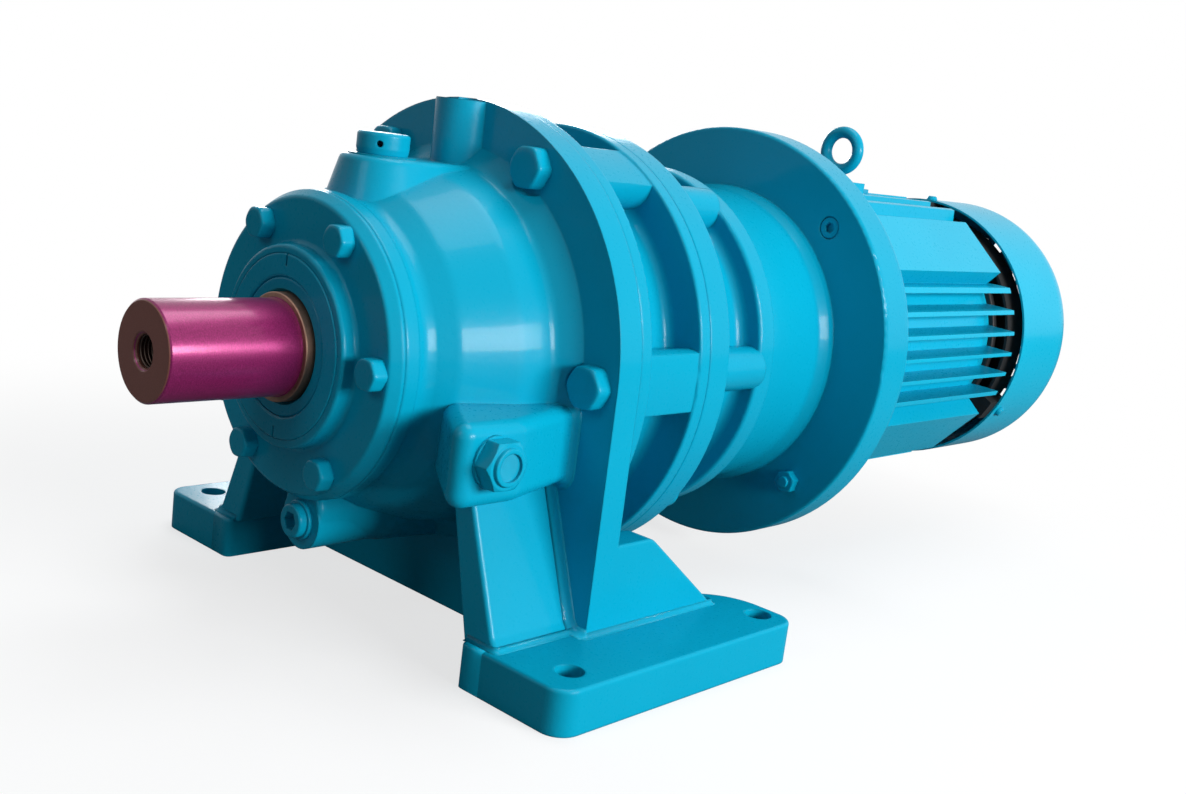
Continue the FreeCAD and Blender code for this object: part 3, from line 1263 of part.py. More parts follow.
def plug_washers():
    washers = []
    for side in (-1, 1):
        ring = tube(washer_r, side_plug_thread_r + seat_gap, 0, washer_thickness, 0.0, 0.0)
        washers.append(pointing(ring, Vector(side * side_boss_x, side_plug_y, side_plug_z), Vector(side, 0, 0)))
    return Part.makeCompound(washers)


def drain_plug():
    """Round plug with a hex socket and a thin collar."""
    plug = turned([(-drain_head, 0), (-drain_head, drain_head_r, 1.8), (-3.0, drain_head_r),
                   (-3.0, drain_head_r + 2.0, 1.0), (0, drain_head_r + 2.0), (0, drain_thread_r),
                   (drain_depth, drain_thread_r), (drain_depth, 0)], 0.0, 0.0)
    socket = hex_prism(drain_socket_hex, drain_head)
    socket.translate(Vector(0, -socket.BoundBox.YMin - drain_head - 1, 0))
    plug = plug.cut(socket)
    plug.translate(Vector(0, drain_boss_front_y, drain_z))
    return plug


parts = {
    "gear_case": gear_case(),
    "end_cover": end_cover(),
    "cover_bolts": cover_bolts(),
    "seal_retaining_ring": seal_retaining_ring(),
    "output_oil_seal": output_oil_seal(),
    "output_shaft": output_shaft(),
    "shaft_sleeve": shaft_sleeve(),
    "front_bearing_outer": bearing_outer(front_bearing_bore_r, front_bearing_r, front_bearing_y, front_bearing_width),
    "front_bearing_inner": bearing_inner(front_bearing_bore_r, front_bearing_r, front_bearing_y, front_bearing_width),
    "rear_bearing_outer": bearing_outer(rear_bearing_bore_r, rear_bearing_r, rear_bearing_y, rear_bearing_width),
    "rear_bearing_inner": bearing_inner(rear_bearing_bore_r, rear_bearing_r, rear_bearing_y, rear_bearing_width),
    "pin_housing": pin_housing(),
    "ring_pins": ring_pins(),
    "cycloid_disc_front": cycloid_disc(disc_front_y, 1),
    "cycloid_disc_rear": cycloid_disc(disc_rear_y, -1),
    "disc_spacer": disc_spacer(),
    "output_pins": output_pins(),
    "output_bushes": output_bushes(),
    "eccentric_sleeve": eccentric_sleeve(),
    "eccentric_rollers": eccentric_rollers(),
    "pilot_bearing_outer": bearing_outer(input_shaft_r, pilot_bearing_r, carrier_rear_y - pilot_bearing_width,
                                         pilot_bearing_width),
    "pilot_bearing_inner": bearing_inner(input_shaft_r, pilot_bearing_r, carrier_rear_y - pilot_bearing_width,
                                         pilot_bearing_width),
    "input_shaft": input_shaft(),
    "input_bearing_outer": bearing_outer(input_journal_r, input_bearing_r, input_bearing_y, input_bearing_width),
    "input_bearing_inner": bearing_inner(input_journal_r, input_bearing_r, input_bearing_y, input_bearing_width),
    "input_oil_seal": input_oil_seal(),
    "shaft_coupling": shaft_coupling(),
    "motor_adapter": motor_adapter(),
    "housing_bolts": housing_bolts(),
    "filler_plug": filler_plug(),
    "oil_sight_glass": side_plug(1, True),
    "sight_glass_lens": sight_lens(),
    "blanking_plug": side_plug(-1, False),
    "plug_washers": plug_washers(),
    "drain_plug": drain_plug(),
    "motor_flange_shield": motor_flange_shield(),
    "motor_flange_bolts": motor_flange_bolts(),
    "motor_frame": motor_frame(),
    "stator_core": stator_core(),
    "stator_windings": stator_windings(),
    "rotor_core": rotor_core(),
    "motor_shaft": motor_shaft(),
    "motor_front_bearing_outer": bearing_outer(motor_journal_r, motor_bearing_r, motor_front_bearing_y,
                                               motor_bearing_width),
    "motor_front_bearing_inner": bearing_inner(motor_journal_r, motor_bearing_r, motor_front_bearing_y,
                                               motor_bearing_width),
    "motor_rear_bearing_outer": bearing_outer(motor_journal_r, motor_bearing_r, motor_rear_bearing_y,
                                              motor_bearing_width),
    "motor_rear_bearing_inner": bearing_inner(motor_journal_r, motor_bearing_r, motor_rear_bearing_y,
                                              motor_bearing_width),
    "rear_end_shield": rear_end_shield(),
    "fan_cowl": fan_cowl(),
    "cowl_screws": cowl_screws(),
    "cooling_fan": cooling_fan(),
    "eye_bolt": eye_bolt(),
    "earth_screw": earth_screw(),
    "terminal_box": terminal_box(),
    "terminal_box_lid": terminal_box_lid(),
    "lid_screws": lid_screws(),
    "cable_gland": cable_gland(),
}

os.makedirs("parts", exist_ok=True)
for name, shape in parts.items():
    shape.exportStep("parts/" + name + ".step")
    print(name, shape.isValid(), len(shape.Solids), round(shape.Volume))
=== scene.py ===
import json
import math

import bmesh
import bpy
import numpy as np
from mathutils import Matrix, Vector


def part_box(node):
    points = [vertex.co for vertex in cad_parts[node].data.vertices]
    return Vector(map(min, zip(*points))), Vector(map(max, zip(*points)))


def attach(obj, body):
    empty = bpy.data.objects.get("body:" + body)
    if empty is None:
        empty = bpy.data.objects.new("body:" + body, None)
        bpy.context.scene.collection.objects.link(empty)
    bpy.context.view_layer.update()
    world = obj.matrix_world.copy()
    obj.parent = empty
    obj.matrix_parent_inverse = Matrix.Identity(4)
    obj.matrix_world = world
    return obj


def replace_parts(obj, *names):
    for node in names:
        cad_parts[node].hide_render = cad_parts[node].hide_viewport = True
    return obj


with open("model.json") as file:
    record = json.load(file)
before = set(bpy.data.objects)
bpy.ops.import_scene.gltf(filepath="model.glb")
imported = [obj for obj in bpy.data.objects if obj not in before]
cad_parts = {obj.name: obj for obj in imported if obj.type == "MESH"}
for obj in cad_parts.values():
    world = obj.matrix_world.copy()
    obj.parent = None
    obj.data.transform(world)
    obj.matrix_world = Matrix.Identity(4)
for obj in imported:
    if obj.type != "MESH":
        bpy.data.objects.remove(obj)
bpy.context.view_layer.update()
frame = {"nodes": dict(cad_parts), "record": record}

# The photograph's camera, fitted to the circles, bolts and feet of the gearmotor.
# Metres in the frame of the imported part; the picture is 1186 x 794 pixels.
PICTURE_WIDTH = 1186
FOCAL_PIXELS = 1319.43
SENSOR_MM = 36.0
CENTRE_SHIFT_PIXELS = 1.9
CAMERA_PLACE = (0.7261, -0.6908, 0.3614)
CAMERA_YAW = -41.82
CAMERA_PITCH = 11.11
CAMERA_ROLL = 7.35

MM = 0.001
AXIS_Z = 0.2

# Studio floor, in metres: half its width, and a height just under the feet.
FLOOR_REACH = 12.0
FLOOR_Z = -0.0002
# The camera sees the floor partly white up to one distance from the origin, and fully white from another.
FLOOR_WHITE_SHARE = 0.72
FLOOR_FADE = (0.3, 1.0)

# Places on the gear case that the cast fillets follow, in millimetres like all sizes of added pieces.
FOOT_TOP_Z = 31.0
WEB_FRONT_Y = -52.0
WEB_EDGE_X = 177.0
WEB_OVERRUN = 0.4
FLANGE_REAR_Y = -29.0
LEG_FOOT_X = 166.0
LEG_INNER_X = 138.0
LEG_FRONT_Y = -124.0
LEG_LOW = (160.4, 38.5)
LEG_HIGH_X = 126.0
GUSSET_INNER_X = 153.0
GUSSET_END_Y = 87.0
BOSS_INNER_X = 96.0
BOSS_OUTER_X = 143.0
BOSS_LOW_Z = 130.0
BOSS_HIGH_Z = 184.0
CAST_FILLET = 6.0
FOOT_FILLET = 3.5
FILLET_SINK = 0.5
WEB_PATH_CORNERS = (0.0, 2.0, 0.0, 9.0, 9.0)
FOOT_PATH_CORNERS = (4.0, 0.0, 0.0, 2.0, 2.0)

# Inner edge of each foot, which the photograph shows flush with the leg over it.
TOE_INNER_X = 138.5
TOE_BACK_X = 160.0
TOE_FRONT_Y = -130.45
TOE_REAR_Y = 84.0
TOE_CORNER = 6.0
TOE_EDGE = 2.5
TOE_TAPER = 60.0
TOE_TAPER_CORNER = 30.0
TOE_LIFT = 0.05
# Rings of points this far above the floor and below the rounded edge keep the wall flat in the shading.
TOE_RING_LOW = 0.3
TOE_RING_HIGH = 0.5

# Thread in the tapped hole of the output shaft.
THREAD_PITCH = 2.5
THREAD_CREST_R = 9.5
THREAD_ROOT_R = 10.7
THREAD_START = 3.0
THREAD_LENGTH = 36.0
THREAD_POINTS_PER_TURN = 40
# Half widths of the ridge as shares of the pitch.
THREAD_ROOT_SHARE = 0.46
THREAD_CREST_SHARE = 0.08
HOLE_R = 11.4

# Depth behind the shaft's tip that still counts as its end face.
FACE_DEPTH = 0.6

# Painted hex bolts: circle radius, Y of the face they sit on, width across flats, head height,
# shank radius and length.
COVER_BOLTS = (88.5, -179.6, 20.5, 10.4, 5.0, 27.6)
HOUSING_BOLTS = (156.0, -52.0, 28.6, 12.0, 8.0, 127.0)
HEX_SHARPNESS = 13.0

# Width of a band of stator sheets, and the scale at which a wave texture repeats about once per unit.
SHEET_BAND = 2.5
WAVES_PER_UNIT = 1 / math.pi

# Finishes that repeat, as sRGB hex colours.
PAINT = "#0499B8"
PAINT_THIN = "#0392B2"
PAINT_MOTOR = "#0AA6C6"
PAINT_MOTOR_THIN = "#089EBE"
BRONZE = "#A0806F"
WHITE = "#FFFFFF"


def linear(hex_colour):
    """sRGB hex colour as linear RGBA."""
    parts = [int(hex_colour[k:k + 2], 16) / 255 for k in (1, 3, 5)]
    return [c / 12.92 if c <= 0.04045 else ((c + 0.055) / 1.055) ** 2.4 for c in parts] + [1.0]


def node(tree, kind, settings=None, links=None):
    """Adds one shader node, with its settings and what feeds its sockets."""
    made = tree.nodes.new(kind)
    for key, value in (settings or {}).items():
        if isinstance(key, int) or key in made.inputs:
            made.inputs[key].default_value = value
        else:
            setattr(made, key, value)
    for key, source in (links or {}).items():
        tree.links.new(source, made.inputs[key])
    return made


def new_material(name, look):
    """Empty node material whose surface is what look(tree, coordinates) returns."""
    material = bpy.data.materials.new(name)
    material.use_nodes = True
    tree = material.node_tree
    tree.nodes.clear()
    place = node(tree, "ShaderNodeTexCoord").outputs["Object"]
    surface = look(tree, place)
    output = node(tree, "ShaderNodeOutputMaterial")
    tree.links.new(surface, output.inputs["Surface"])
    return material


def speckle(tree, place, size_mm, detail=2.0, rough=0.5):
    """Noise whose blotches are about size_mm across."""
    return node(tree, "ShaderNodeTexNoise",
                {"Scale": 1 / (size_mm * MM), "Detail": detail, "Roughness": rough}, {"Vector": place})


def tinted(tree, factor, low, high):
    """Colour that runs from low to high with a factor."""
    ramp = node(tree, "ShaderNodeValToRGB", None, {"Fac": factor})
    ramp.color_ramp.elements[0].color = linear(low)
    ramp.color_ramp.elements[1].color = linear(high)
    return ramp


def spread(tree, factor, low, high, start=0.0, end=1.0):
    """Number that runs from low to high as the factor goes from start to end."""
    return node(tree, "ShaderNodeMapRange",
                {"From Min": start, "From Max": end, "To Min": low, "To Max": high}, {"Value": factor})


def relief(tree, height, depth_mm, strength, edge_mm=0.0):
    """Surface relief of a given depth; edge_mm rounds sharp edges in the shading."""
    bump = node(tree, "ShaderNodeBump",
                {"Strength": strength, "Distance": depth_mm * MM}, {"Height": height})
    if edge_mm:
        soft = node(tree, "ShaderNodeBevel", {"samples": 4, "Radius": edge_mm * MM})
        tree.links.new(soft.outputs["Normal"], bump.inputs["Normal"])
    return bump


def enamel(name, colour, shade, casting_mm, casting_depth_mm, edge_mm, peel_share=0.25):
    """Sprayed gloss enamel: thick, even, a faint orange peel over the cast or rolled metal under it."""
    def look(tree, place):
        cloud = speckle(tree, place, 90.0, 1.0)
        colours = tinted(tree, cloud.outputs["Fac"], shade, colour)
        peel = speckle(tree, place, 2.6, 1.0)
        wave = speckle(tree, place, casting_mm, 2.0)
        height = node(tree, "ShaderNodeMath", {"operation": "MULTIPLY_ADD", 1: peel_share},
                      {0: peel.outputs["Fac"], 2: wave.outputs["Fac"]})
        normal = relief(tree, height.outputs[0], casting_depth_mm, 0.35, edge_mm)
        gloss = spread(tree, peel.outputs["Fac"], 0.24, 0.34)
        return node(tree, "ShaderNodeBsdfPrincipled",
                    {"IOR": 1.5, "Specular IOR Level": 0.08, "Coat Weight": 0.09, "Coat Roughness": 0.08},
                    {"Base Color": colours.outputs["Color"], "Roughness": gloss.outputs[0],
                     "Normal": normal.outputs["Normal"]}).outputs[0]
    return new_material(name, look)


def shaft_lacquer(name, tip_y):
    """Clear magenta rust-preventing lacquer over a turned shaft; its end face is dull and browner."""
    def look(tree, place):
        parts = node(tree, "ShaderNodeSeparateXYZ", None, {"Vector": place})
        grain = node(tree, "ShaderNodeMapping", {"Scale": (1.0, 9.0, 1.0)}, {"Vector": place})
        lathe = speckle(tree, grain.outputs[0], 2.5, 3.0, 0.7)
        sparkle = speckle(tree, place, 0.9, 2.0, 0.8)
        tone = node(tree, "ShaderNodeMath", {"operation": "MULTIPLY_ADD", 1: 0.5},
                    {0: sparkle.outputs["Fac"], 2: spread(tree, lathe.outputs["Fac"], 0.0, 0.5).outputs[0]})
        depth = spread(tree, tone.outputs[0], 0.0, 1.0, 0.3, 0.7)
        side = tinted(tree, depth.outputs[0], "#5E103C", "#9C2A6C")
        end = tinted(tree, sparkle.outputs["Fac"], "#643C34", "#865248")
        at_face = node(tree, "ShaderNodeMath", {"operation": "LESS_THAN", 1: tip_y + FACE_DEPTH * MM},
                       {0: parts.outputs["Y"]})
        around = node(tree, "ShaderNodeMapping",
                      {"Location": (0.0, 0.0, -AXIS_Z), "Scale": (1.0, 0.0, 1.0)}, {"Vector": place})
        out = node(tree, "ShaderNodeVectorMath", {"operation": "LENGTH"}, {0: around.outputs[0]})
        in_hole = node(tree, "ShaderNodeMath", {"operation": "LESS_THAN", 1: HOLE_R * MM},
                       {0: out.outputs["Value"]})
        at_end = node(tree, "ShaderNodeMath", {"operation": "MAXIMUM"},
                      {0: at_face.outputs[0], 1: in_hole.outputs[0]})
        colour = node(tree, "ShaderNodeMix", {"data_type": "RGBA"},
                      {"Factor": at_end.outputs[0], 6: side.outputs["Color"], 7: end.outputs["Color"]})
        metal = spread(tree, at_end.outputs[0], 0.4, 0.1)
        rough = spread(tree, at_end.outputs[0], 0.3, 0.55)
        normal = relief(tree, tone.outputs[0], 0.05, 0.35, 0.8)
        return node(tree, "ShaderNodeBsdfPrincipled",
                    {"Specular IOR Level": 0.2, "Coat Weight": 0.35, "Coat Roughness": 0.14},
                    {"Base Color": colour.outputs[2], "Metallic": metal.outputs[0],
                     "Roughness": rough.outputs[0], "Normal": normal.outputs["Normal"]}).outputs[0]
    return new_material(name, look)


def machined(name, low, high, rough, stretch=(1.0, 8.0, 1.0)):
    """Bare metal with fine streaks round the axis from the tool; an even stretch leaves them out."""
    def look(tree, place):
        lines = node(tree, "ShaderNodeMapping", {"Scale": stretch}, {"Vector": place})
        grain = speckle(tree, lines.outputs[0], 3.0, 3.0, 0.6)
        colours = tinted(tree, grain.outputs["Fac"], low, high)
        gloss = spread(tree, grain.outputs["Fac"], rough, rough + 0.15)
        normal = relief(tree, grain.outputs["Fac"], 0.04, 0.3, 0.5)
        return node(tree, "ShaderNodeBsdfPrincipled", {"Metallic": 1.0},
                    {"Base Color": colours.outputs["Color"], "Roughness": gloss.outputs[0],
                     "Normal": normal.outputs["Normal"]}).outputs[0]
    return new_material(name, look)


def moulded(name, low, high, rough, grain_mm):
    """Moulded plastic, or a flat near-black coat used as painted shade: no metal, a fine grain that dulls
    it.
    """
    def look(tree, place):
        grain = speckle(tree, place, grain_mm, 2.0)
        colours = tinted(tree, grain.outputs["Fac"], low, high)
        normal = relief(tree, grain.outputs["Fac"], 0.08, 0.4, 0.4)
        return node(tree, "ShaderNodeBsdfPrincipled", {"Roughness": rough, "IOR": 1.48},
                    {"Base Color": colours.outputs["Color"], "Normal": normal.outputs["Normal"]}).outputs[0]
    return new_material(name, look)


def laminated(name):
    """Stacked sheet steel: bands across the axis, coarser than the real 0.5 mm sheets so they show."""
    def look(tree, place):
        scale = WAVES_PER_UNIT / (SHEET_BAND * MM)
        bands = node(tree, "ShaderNodeTexWave",
                     {"bands_direction": "Y", "Scale": scale, "Distortion": 0.2}, {"Vector": place})
        colours = tinted(tree, bands.outputs["Fac"], "#3C3E42", "#6A6C70")
        return node(tree, "ShaderNodeBsdfPrincipled", {"Metallic": 1.0, "Roughness": 0.45},
                    {"Base Color": colours.outputs["Color"]}).outputs[0]
    return new_material(name, look)


def lens_glass(name):
    """Sight-glass lens that was sprayed over with the rest: smooth paint with a deeper tone."""
    def look(tree, place):
        cloud = speckle(tree, place, 6.0, 2.0)
        colours = tinted(tree, cloud.outputs["Fac"], "#0A8CAA", "#12A5C5")
        return node(tree, "ShaderNodeBsdfPrincipled", {"Roughness": 0.12, "IOR": 1.5, "Coat Weight": 0.6},
                    {"Base Color": colours.outputs["Color"]}).outputs[0]
    return new_material(name, look)


def paint_part(obj, material):
    obj.data.materials.clear()
    obj.data.materials.append(material)


def set_camera():
    """Camera at the photograph's place, turned by yaw, pitch and roll."""
    yaw, pitch, roll = (math.radians(a) for a in (CAMERA_YAW, CAMERA_PITCH, CAMERA_ROLL))
    ahead = Vector((math.sin(yaw) * math.cos(pitch), math.cos(yaw) * math.cos(pitch), -math.sin(pitch)))
    level = Vector((math.cos(yaw), -math.sin(yaw), 0.0))
    upright = level.cross(ahead)
    right = math.cos(roll) * level + math.sin(roll) * upright
    up = math.cos(roll) * upright - math.sin(roll) * level
    turn = Matrix((right, up, -ahead)).transposed().to_4x4()
    data = bpy.data.cameras.new("photo_camera")
    data.sensor_width = SENSOR_MM
    data.lens = FOCAL_PIXELS * SENSOR_MM / PICTURE_WIDTH
    data.shift_x = CENTRE_SHIFT_PIXELS / PICTURE_WIDTH
    data.clip_end = 20.0
    camera = bpy.data.objects.new("photo_camera", data)
    camera.matrix_world = Matrix.Translation(CAMERA_PLACE) @ turn
    bpy.context.collection.objects.link(camera)
    bpy.context.scene.camera = camera


def soft_box(name, place, aim, size, power):
    """White rectangular studio lamp at a place, facing another; size in metres, power in watts."""
    data = bpy.data.lights.new(name, "AREA")
    data.shape = "RECTANGLE"
    data.size, data.size_y = size
    data.energy = power
    lamp = bpy.data.objects.new(name, data)
    lamp.location = place
    lamp.rotation_mode = "QUATERNION"
    lamp.rotation_quaternion = (Vector(aim) - Vector(place)).to_track_quat("-Z", "Y")
    bpy.context.collection.objects.link(lamp)


def set_lights():
    """A broad key from the sight-glass side, weak top and front lights, and one for the hidden side."""
    middle = (0.0, 0.15, AXIS_Z)
    soft_box("key_side", (2.4, 0.35, 0.75), (0.0, 0.05, AXIS_Z), (1.5, 0.6), 80.0)
    soft_box("top_soft", (0.1, 0.45, 2.3), middle, (1.6, 1.1), 26.0)
    soft_box("front_fill", (0.0, -2.4, 1.5), middle, (0.9, 0.9), 7.5)
    soft_box("rear_fill", (-2.2, 1.9, 0.9), middle, (1.3, 0.9), 34.0)


def set_world():
    """White behind the object for the camera and reflections, and a low even light on it."""
    world = bpy.data.worlds.new("studio")
    bpy.context.scene.world = world
    world.use_nodes = True
    tree = world.node_tree
    tree.nodes.clear()
    path = node(tree, "ShaderNodeLightPath")
    seen = node(tree, "ShaderNodeMath", {"operation": "MAXIMUM"},
                {0: path.outputs["Is Camera Ray"], 1: path.outputs["Is Transmission Ray"]})
    seen = node(tree, "ShaderNodeMath", {"operation": "MAXIMUM"},
                {0: seen.outputs[0], 1: path.outputs["Is Glossy Ray"]})
    low = node(tree, "ShaderNodeBackground", {"Color": linear("#E8F1F6"), "Strength": 0.12})
    white = node(tree, "ShaderNodeBackground", {"Color": linear(WHITE), "Strength": 1.0})
    mix = node(tree, "ShaderNodeMixShader", None,
               {0: seen.outputs[0], 1: low.outputs[0], 2: white.outputs[0]})
    tree.links.new(mix.outputs[0], node(tree, "ShaderNodeOutputWorld").inputs["Surface"])


def studio_floor():
    """Pale floor to the horizon; the camera sees it near white with the object's soft shadow."""
    corners = np.array([(-1, -1), (1, -1), (1, 1), (-1, 1)]) * FLOOR_REACH
    mesh = bpy.data.meshes.new("studio_floor")
    mesh.from_pydata([(x, y, FLOOR_Z) for x, y in corners], [], [(0, 1, 2, 3)])
    floor = bpy.data.objects.new("studio_floor", mesh)
    bpy.context.collection.objects.link(floor)

    def look(tree, place):
        path = node(tree, "ShaderNodeLightPath")
        away = node(tree, "ShaderNodeVectorMath", {"operation": "LENGTH"}, {0: place})
        fade = spread(tree, away.outputs["Value"], FLOOR_WHITE_SHARE, 1.0, *FLOOR_FADE)
        fade.interpolation_type = "SMOOTHERSTEP"
        seen = node(tree, "ShaderNodeMath", {"operation": "MULTIPLY"},
                    {0: path.outputs["Is Camera Ray"], 1: fade.outputs[0]})
        paper = node(tree, "ShaderNodeMix",
                     {"data_type": "RGBA", 6: linear("#7B8084"), 7: linear("#F4F6F7")},
                     {"Factor": path.outputs["Is Camera Ray"]})
        matt = node(tree, "ShaderNodeBsdfDiffuse", None, {"Color": paper.outputs[2]})
        white = node(tree, "ShaderNodeEmission", {"Color": linear(WHITE), "Strength": 1.0})
        return node(tree, "ShaderNodeMixShader", None,
                    {0: seen.outputs[0], 1: matt.outputs[0], 2: white.outputs[0]}).outputs[0]
    paint_part(floor, new_material("floor_paper", look))


def finish_cad_nodes():
    """Gives each carried-over node the finish of its material slot."""
    finishes = {
        # Sand-cast iron under the enamel: soft edges and a slow waviness about 14 mm long.
        "painted_cast_iron": enamel("enamel_on_cast_iron", PAINT, PAINT_THIN, 14.0, 0.5, 2.2),
        # Die-cast aluminium under a lighter coat: flatter faces and crisper fins.
        "painted_aluminium": enamel("enamel_on_cast_aluminium", PAINT_MOTOR, PAINT_MOTOR_THIN,
                                    18.0, 0.3, 1.0, 0.08),
        # Drawn sheet: almost flat, with wide soft dents from the press.
        "painted_sheet": enamel("enamel_on_sheet_steel", PAINT_MOTOR, PAINT_MOTOR_THIN,
                                40.0, 0.2, 0.8, 0.08),
        # Bolts and plugs sprayed in place: the thick coat rounds their edges.
        "painted_steel": enamel("enamel_on_fasteners", PAINT, PAINT_THIN, 6.0, 0.25, 1.6, 0.1),
        # Rust-preventing lacquer: a see-through magenta sheen over turning marks.
        "lacquered_shaft_steel": shaft_lacquer("magenta_lacquer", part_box("output_shaft")[0].y),
        # Oiled bronze ring: brown, with turning lines and a soft shine.
        "bronze": machined("turned_bronze", "#6C5246", BRONZE, 0.4),
        # Rubber lip caught by the spray: dull and a shade darker than the castings.
        "nitrile_rubber": enamel("enamel_on_rubber_seals", PAINT_THIN, "#0386A6", 10.0, 0.2, 0.8, 0.1),
        # Ground and hardened steel: bright and neutral, with fine streaks.
        "bearing_steel": machined("ground_bearing_steel", "#8E9094", "#C4C6C9", 0.22),
        "laminated_steel": laminated("stacked_laminations"),
        # Varnished copper wire: warm and glossy, without streaks.
        "copper_winding": machined("varnished_copper", "#7A3A18", "#B86B35", 0.3, (1.0, 1.0, 1.0)),
        # Glass-filled nylon: near black, a fine grain and no metal shine.
        "moulded_plastic": moulded("black_nylon", "#141516", "#26282A", 0.5, 1.2),
        "sight_glass": lens_glass("painted_sight_glass"),
    }
    # Painted shade: the end shield inside the cowl is coloured near black, so the gap before the cowl reads
    # dark.
    shade_black_iron = moulded("painted_shade_black_iron", "#08090A", "#141618", 0.6, 3.0)
    for row in frame["record"]["subparts"]:
        paint_part(frame["nodes"][row["node"]], finishes[row["material_slot"]])
    # Painted shade: the end shield takes the near-black coat in place of its own finish.
    paint_part(frame["nodes"]["rear_end_shield"], shade_black_iron)
    return finishes


def smooth_corners(points, radii, steps=5):
    """Polyline with rounded corners: a quadratic curve between the points a radius from each corner."""
    points = np.array(points, float)
    t = np.linspace(0.0, 1.0, steps + 1)[:, None]
    out = [points[:1]]
    for before, corner, after, radius in zip(points, points[1:], points[2:], radii):
        start = corner + (before - corner) / np.linalg.norm(before - corner) * radius
        end = corner + (after - corner) / np.linalg.norm(after - corner) * radius
        curve = (1 - t) ** 2 * start + 2 * t * (1 - t) * corner + t ** 2 * end
        out.append(curve if radius else corner[None])
    return np.vstack(out + [points[-1:]])


def side_normals(path):
    """Normals to the right of a flat polyline, lengthened at corners so that an offset stays parallel."""
    along = np.diff(path, axis=0)
    along /= np.linalg.norm(along, axis=1)[:, None]
    normals = np.stack([along[:, 1], -along[:, 0]], axis=1)
    both = np.vstack([normals[:1], normals]) + np.vstack([normals, normals[-1:]])
    return 2 * both / (both ** 2).sum(axis=1)[:, None]


def tube_faces(rows, columns):
    """Quads of a closed tube whose rings follow each other in a table of points, and its two end caps."""
    row = np.arange(rows - 1)[:, None] * columns
    here = np.arange(columns)[None, :]
    beside = (here + 1) % columns
    quads = np.stack([row + here, row + beside, row + columns + beside, row + columns + here], axis=-1)
    last = (rows - 1) * columns
    return quads.reshape(-1, 4).tolist() + [list(range(columns))[::-1], list(range(last, last + columns))]


def add_piece(name, tubes, material, body):
    """Object made of closed tubes (rings x columns x 3, in millimetres), riding on a body."""
    points, faces = [], []
    for tube in tubes:
        first = sum(len(p) for p in points)
        faces += [[first + k for k in face] for face in tube_faces(*tube.shape[:2])]
        points.append(tube.reshape(-1, 3))
    mesh = bpy.data.meshes.new(name)
    mesh.from_pydata((np.vstack(points) * MM).tolist(), [], faces)
    work = bmesh.new()
    work.from_mesh(mesh)
    bmesh.ops.recalc_face_normals(work, faces=work.faces)
    work.to_mesh(mesh)
    work.free()
    mesh.polygons.foreach_set("use_smooth", np.ones(len(mesh.polygons), bool))
    obj = bpy.data.objects.new(name, mesh)
    bpy.context.collection.objects.link(obj)
    paint_part(obj, material)
    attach(obj, body)
    return obj


def corner_strip(path, radius, lift):
    """Cast fillet along an inside corner: a hollow quarter circle moved along a flat path.

    The standing wall is on the left of the path. Seen along it, the section runs from (r, 0) on the flat
    face to (0, r) on the wall as (r - r sin t, r - r cos t), and closes a little behind both faces.
    lift(u, v, height) puts a point of the flat path and its height over it in space.
    """
    turn = np.linspace(0.0, math.pi / 2, 7)
    across = np.concatenate([radius - radius * np.sin(turn), [-FILLET_SINK, -FILLET_SINK, radius]])
    height = np.concatenate([radius - radius * np.cos(turn), [radius, -FILLET_SINK, -FILLET_SINK]])
    flat = path[:, None, :] + side_normals(path)[:, None, :] * across[None, :, None]
    return lift(flat[..., 0], flat[..., 1], np.broadcast_to(height, flat.shape[:2]))


def cast_fillets(material):
    """Soft inside corners of the gear case where legs, webs and side bosses meet, on both sides."""
    web_path = smooth_corners([(WEB_EDGE_X + WEB_OVERRUN, FOOT_TOP_Z), (LEG_FOOT_X, FOOT_TOP_Z), LEG_LOW,
                               (LEG_HIGH_X, BOSS_LOW_Z), (BOSS_OUTER_X, BOSS_LOW_Z),
                               (BOSS_OUTER_X, BOSS_HIGH_Z), (BOSS_INNER_X, BOSS_HIGH_Z)],
                              WEB_PATH_CORNERS)
    foot_path = smooth_corners([(LEG_INNER_X, LEG_FRONT_Y), (LEG_FOOT_X, LEG_FRONT_Y),
                                (LEG_FOOT_X, WEB_FRONT_Y), (WEB_EDGE_X, WEB_FRONT_Y),
                                (WEB_EDGE_X, GUSSET_END_Y), (GUSSET_INNER_X, GUSSET_END_Y),
                                (GUSSET_INNER_X, FLANGE_REAR_Y)], FOOT_PATH_CORNERS)
    tubes = []
    for side in (1, -1):
        tubes.append(corner_strip(web_path, CAST_FILLET,
                                  lambda u, v, h: np.stack([side * u, WEB_FRONT_Y - h, v], axis=-1)))
        tubes.append(corner_strip(foot_path, FOOT_FILLET,
                                  lambda u, v, h: np.stack([side * u, v, FOOT_TOP_Z + h], axis=-1)))
    add_piece("cast_fillets", tubes, material, "housing")


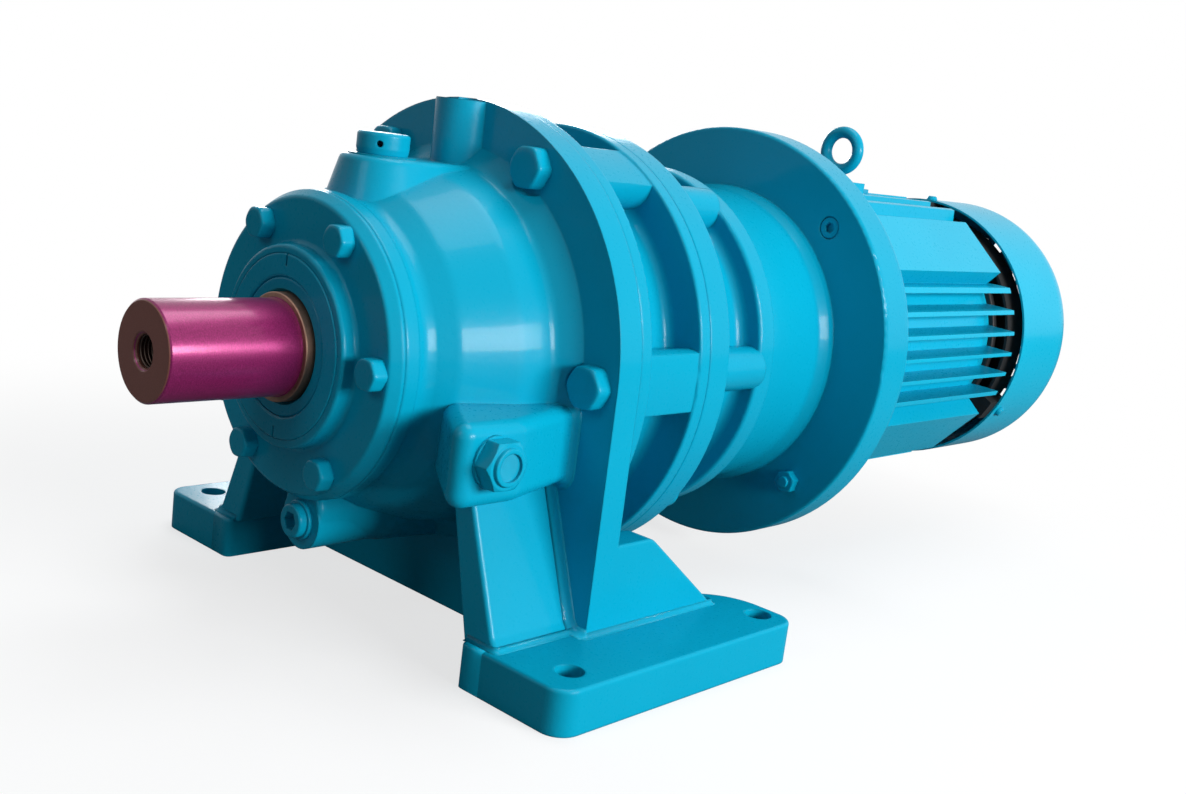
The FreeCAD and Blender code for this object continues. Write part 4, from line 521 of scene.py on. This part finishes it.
def foot_toes(material):
    """Inner edge of both feet: a plan outline carried up from the floor.

    Over the last stretch the outline moves inwards by e - e cos t while the height rises by e sin t, a
    quarter circle of radius e.
    """
    outline = smooth_corners([(TOE_BACK_X, TOE_FRONT_Y), (TOE_INNER_X + 1.2 * TOE_CORNER, TOE_FRONT_Y),
                              (TOE_INNER_X, TOE_FRONT_Y), (TOE_INNER_X, TOE_REAR_Y - TOE_TAPER),
                              (GUSSET_INNER_X, TOE_REAR_Y)], (0.0, TOE_CORNER, TOE_TAPER_CORNER))
    normals = side_normals(outline)
    top = FOOT_TOP_Z + TOE_LIFT
    turn = np.linspace(0.0, math.pi / 2, 6)
    height = np.concatenate([[0.0, TOE_RING_LOW, top - TOE_EDGE - TOE_RING_HIGH],
                             top - TOE_EDGE + TOE_EDGE * np.sin(turn)])
    inset = np.concatenate([[0.0, 0.0, 0.0], TOE_EDGE - TOE_EDGE * np.cos(turn)])
    shift = normals[None] * inset[:, None, None]
    back = np.broadcast_to([TOE_BACK_X, TOE_REAR_Y], (len(height), 1, 2))
    plan = np.concatenate([outline[None] + shift, back], axis=1)
    level = np.broadcast_to(height[:, None], plan.shape[:2])
    tubes = [np.stack([side * plan[..., 0], plan[..., 1], level], axis=-1) for side in (1, -1)]
    add_piece("foot_toes", tubes, material, "housing")


def painted_bolts(name, sizes, material):
    """Six hex bolts with heavy paint: rings round the bolt's axis, each the softer minimum of two shapes.

    One is a hexagon with rounded corners, half the flats over the p-norm of its six side directions. The
    other is the circle of a profile that runs out over the top, round the crown in a quarter ellipse, down
    the side to the seat and along the shank. Softer minimum means (a^-p + b^-p)^(-1/p).
    """
    circle_r, seat_y, flats, head, shank_r, length = sizes
    half = flats / 2
    crown = np.linspace(0.0, math.pi / 2, 8)
    top = [(-head, 0.2), (-head, half * 0.45), (-head, half * 0.7)]
    edge = np.stack([-head + head * 0.3 * (1 - np.cos(crown)), half * (0.8 + 0.4 * np.sin(crown))], axis=1)
    foot = [(-0.6, half * 1.25), (-0.02, half * 1.25), (0.0, shank_r), (length - 2.0, shank_r),
            (length, shank_r - 2.0), (length, 0.2)]
    y, circle = np.vstack([top, edge, foot]).T
    angle = np.linspace(0.0, 2 * math.pi, 48, endpoint=False)
    facing = np.cos(angle[:, None] - np.radians(30.0 + 60.0 * np.arange(6))[None, :]).clip(0.0, None)
    hexagon = half / (facing ** HEX_SHARPNESS).sum(axis=1) ** (1 / HEX_SHARPNESS)
    power = -HEX_SHARPNESS
    radius = (hexagon[None, :] ** power + circle[:, None] ** power) ** (1 / power)
    tubes = []
    for turn in np.radians(60.0 * np.arange(6)):
        x = circle_r * math.cos(turn) + radius * np.cos(angle + turn)[None, :]
        z = AXIS_Z / MM + circle_r * math.sin(turn) + radius * np.sin(angle + turn)[None, :]
        tubes.append(np.stack([x, np.broadcast_to(seat_y + y[:, None], x.shape), z], axis=-1))
    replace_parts(add_piece(name + "_painted", tubes, material, "housing"), name)


def tapped_thread(material):
    """Thread ridges in the shaft's hole: a V section moved along a helix, y = start + pitch * turns."""
    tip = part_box("output_shaft")[0].y / MM
    turns = THREAD_LENGTH / THREAD_PITCH
    angle = np.linspace(0.0, 2 * math.pi * turns, int(turns * THREAD_POINTS_PER_TURN))[:, None]
    radius = np.array([THREAD_ROOT_R, THREAD_CREST_R, THREAD_CREST_R, THREAD_ROOT_R])[None, :]
    along = np.array([-THREAD_ROOT_SHARE, -THREAD_CREST_SHARE,
                      THREAD_CREST_SHARE, THREAD_ROOT_SHARE])[None, :] * THREAD_PITCH
    y = tip + THREAD_START + THREAD_PITCH * angle / (2 * math.pi) + along
    ring = np.stack([radius * np.cos(angle), y, radius * np.sin(angle) + AXIS_Z / MM], axis=-1)
    add_piece("tapped_thread", [ring], material, "output_line")


bpy.context.scene.view_settings.view_transform = "Standard"
set_camera()
set_world()
set_lights()
studio_floor()
finishes = finish_cad_nodes()
cast_fillets(finishes["painted_cast_iron"])
foot_toes(enamel("enamel_on_rounded_iron", PAINT, PAINT_THIN, 14.0, 0.5, 0.0))
painted_bolts("cover_bolts", COVER_BOLTS, finishes["painted_steel"])
painted_bolts("housing_bolts", HOUSING_BOLTS, finishes["painted_steel"])
tapped_thread(machined("oiled_thread_steel", "#2A2422", "#5A4C46", 0.35))
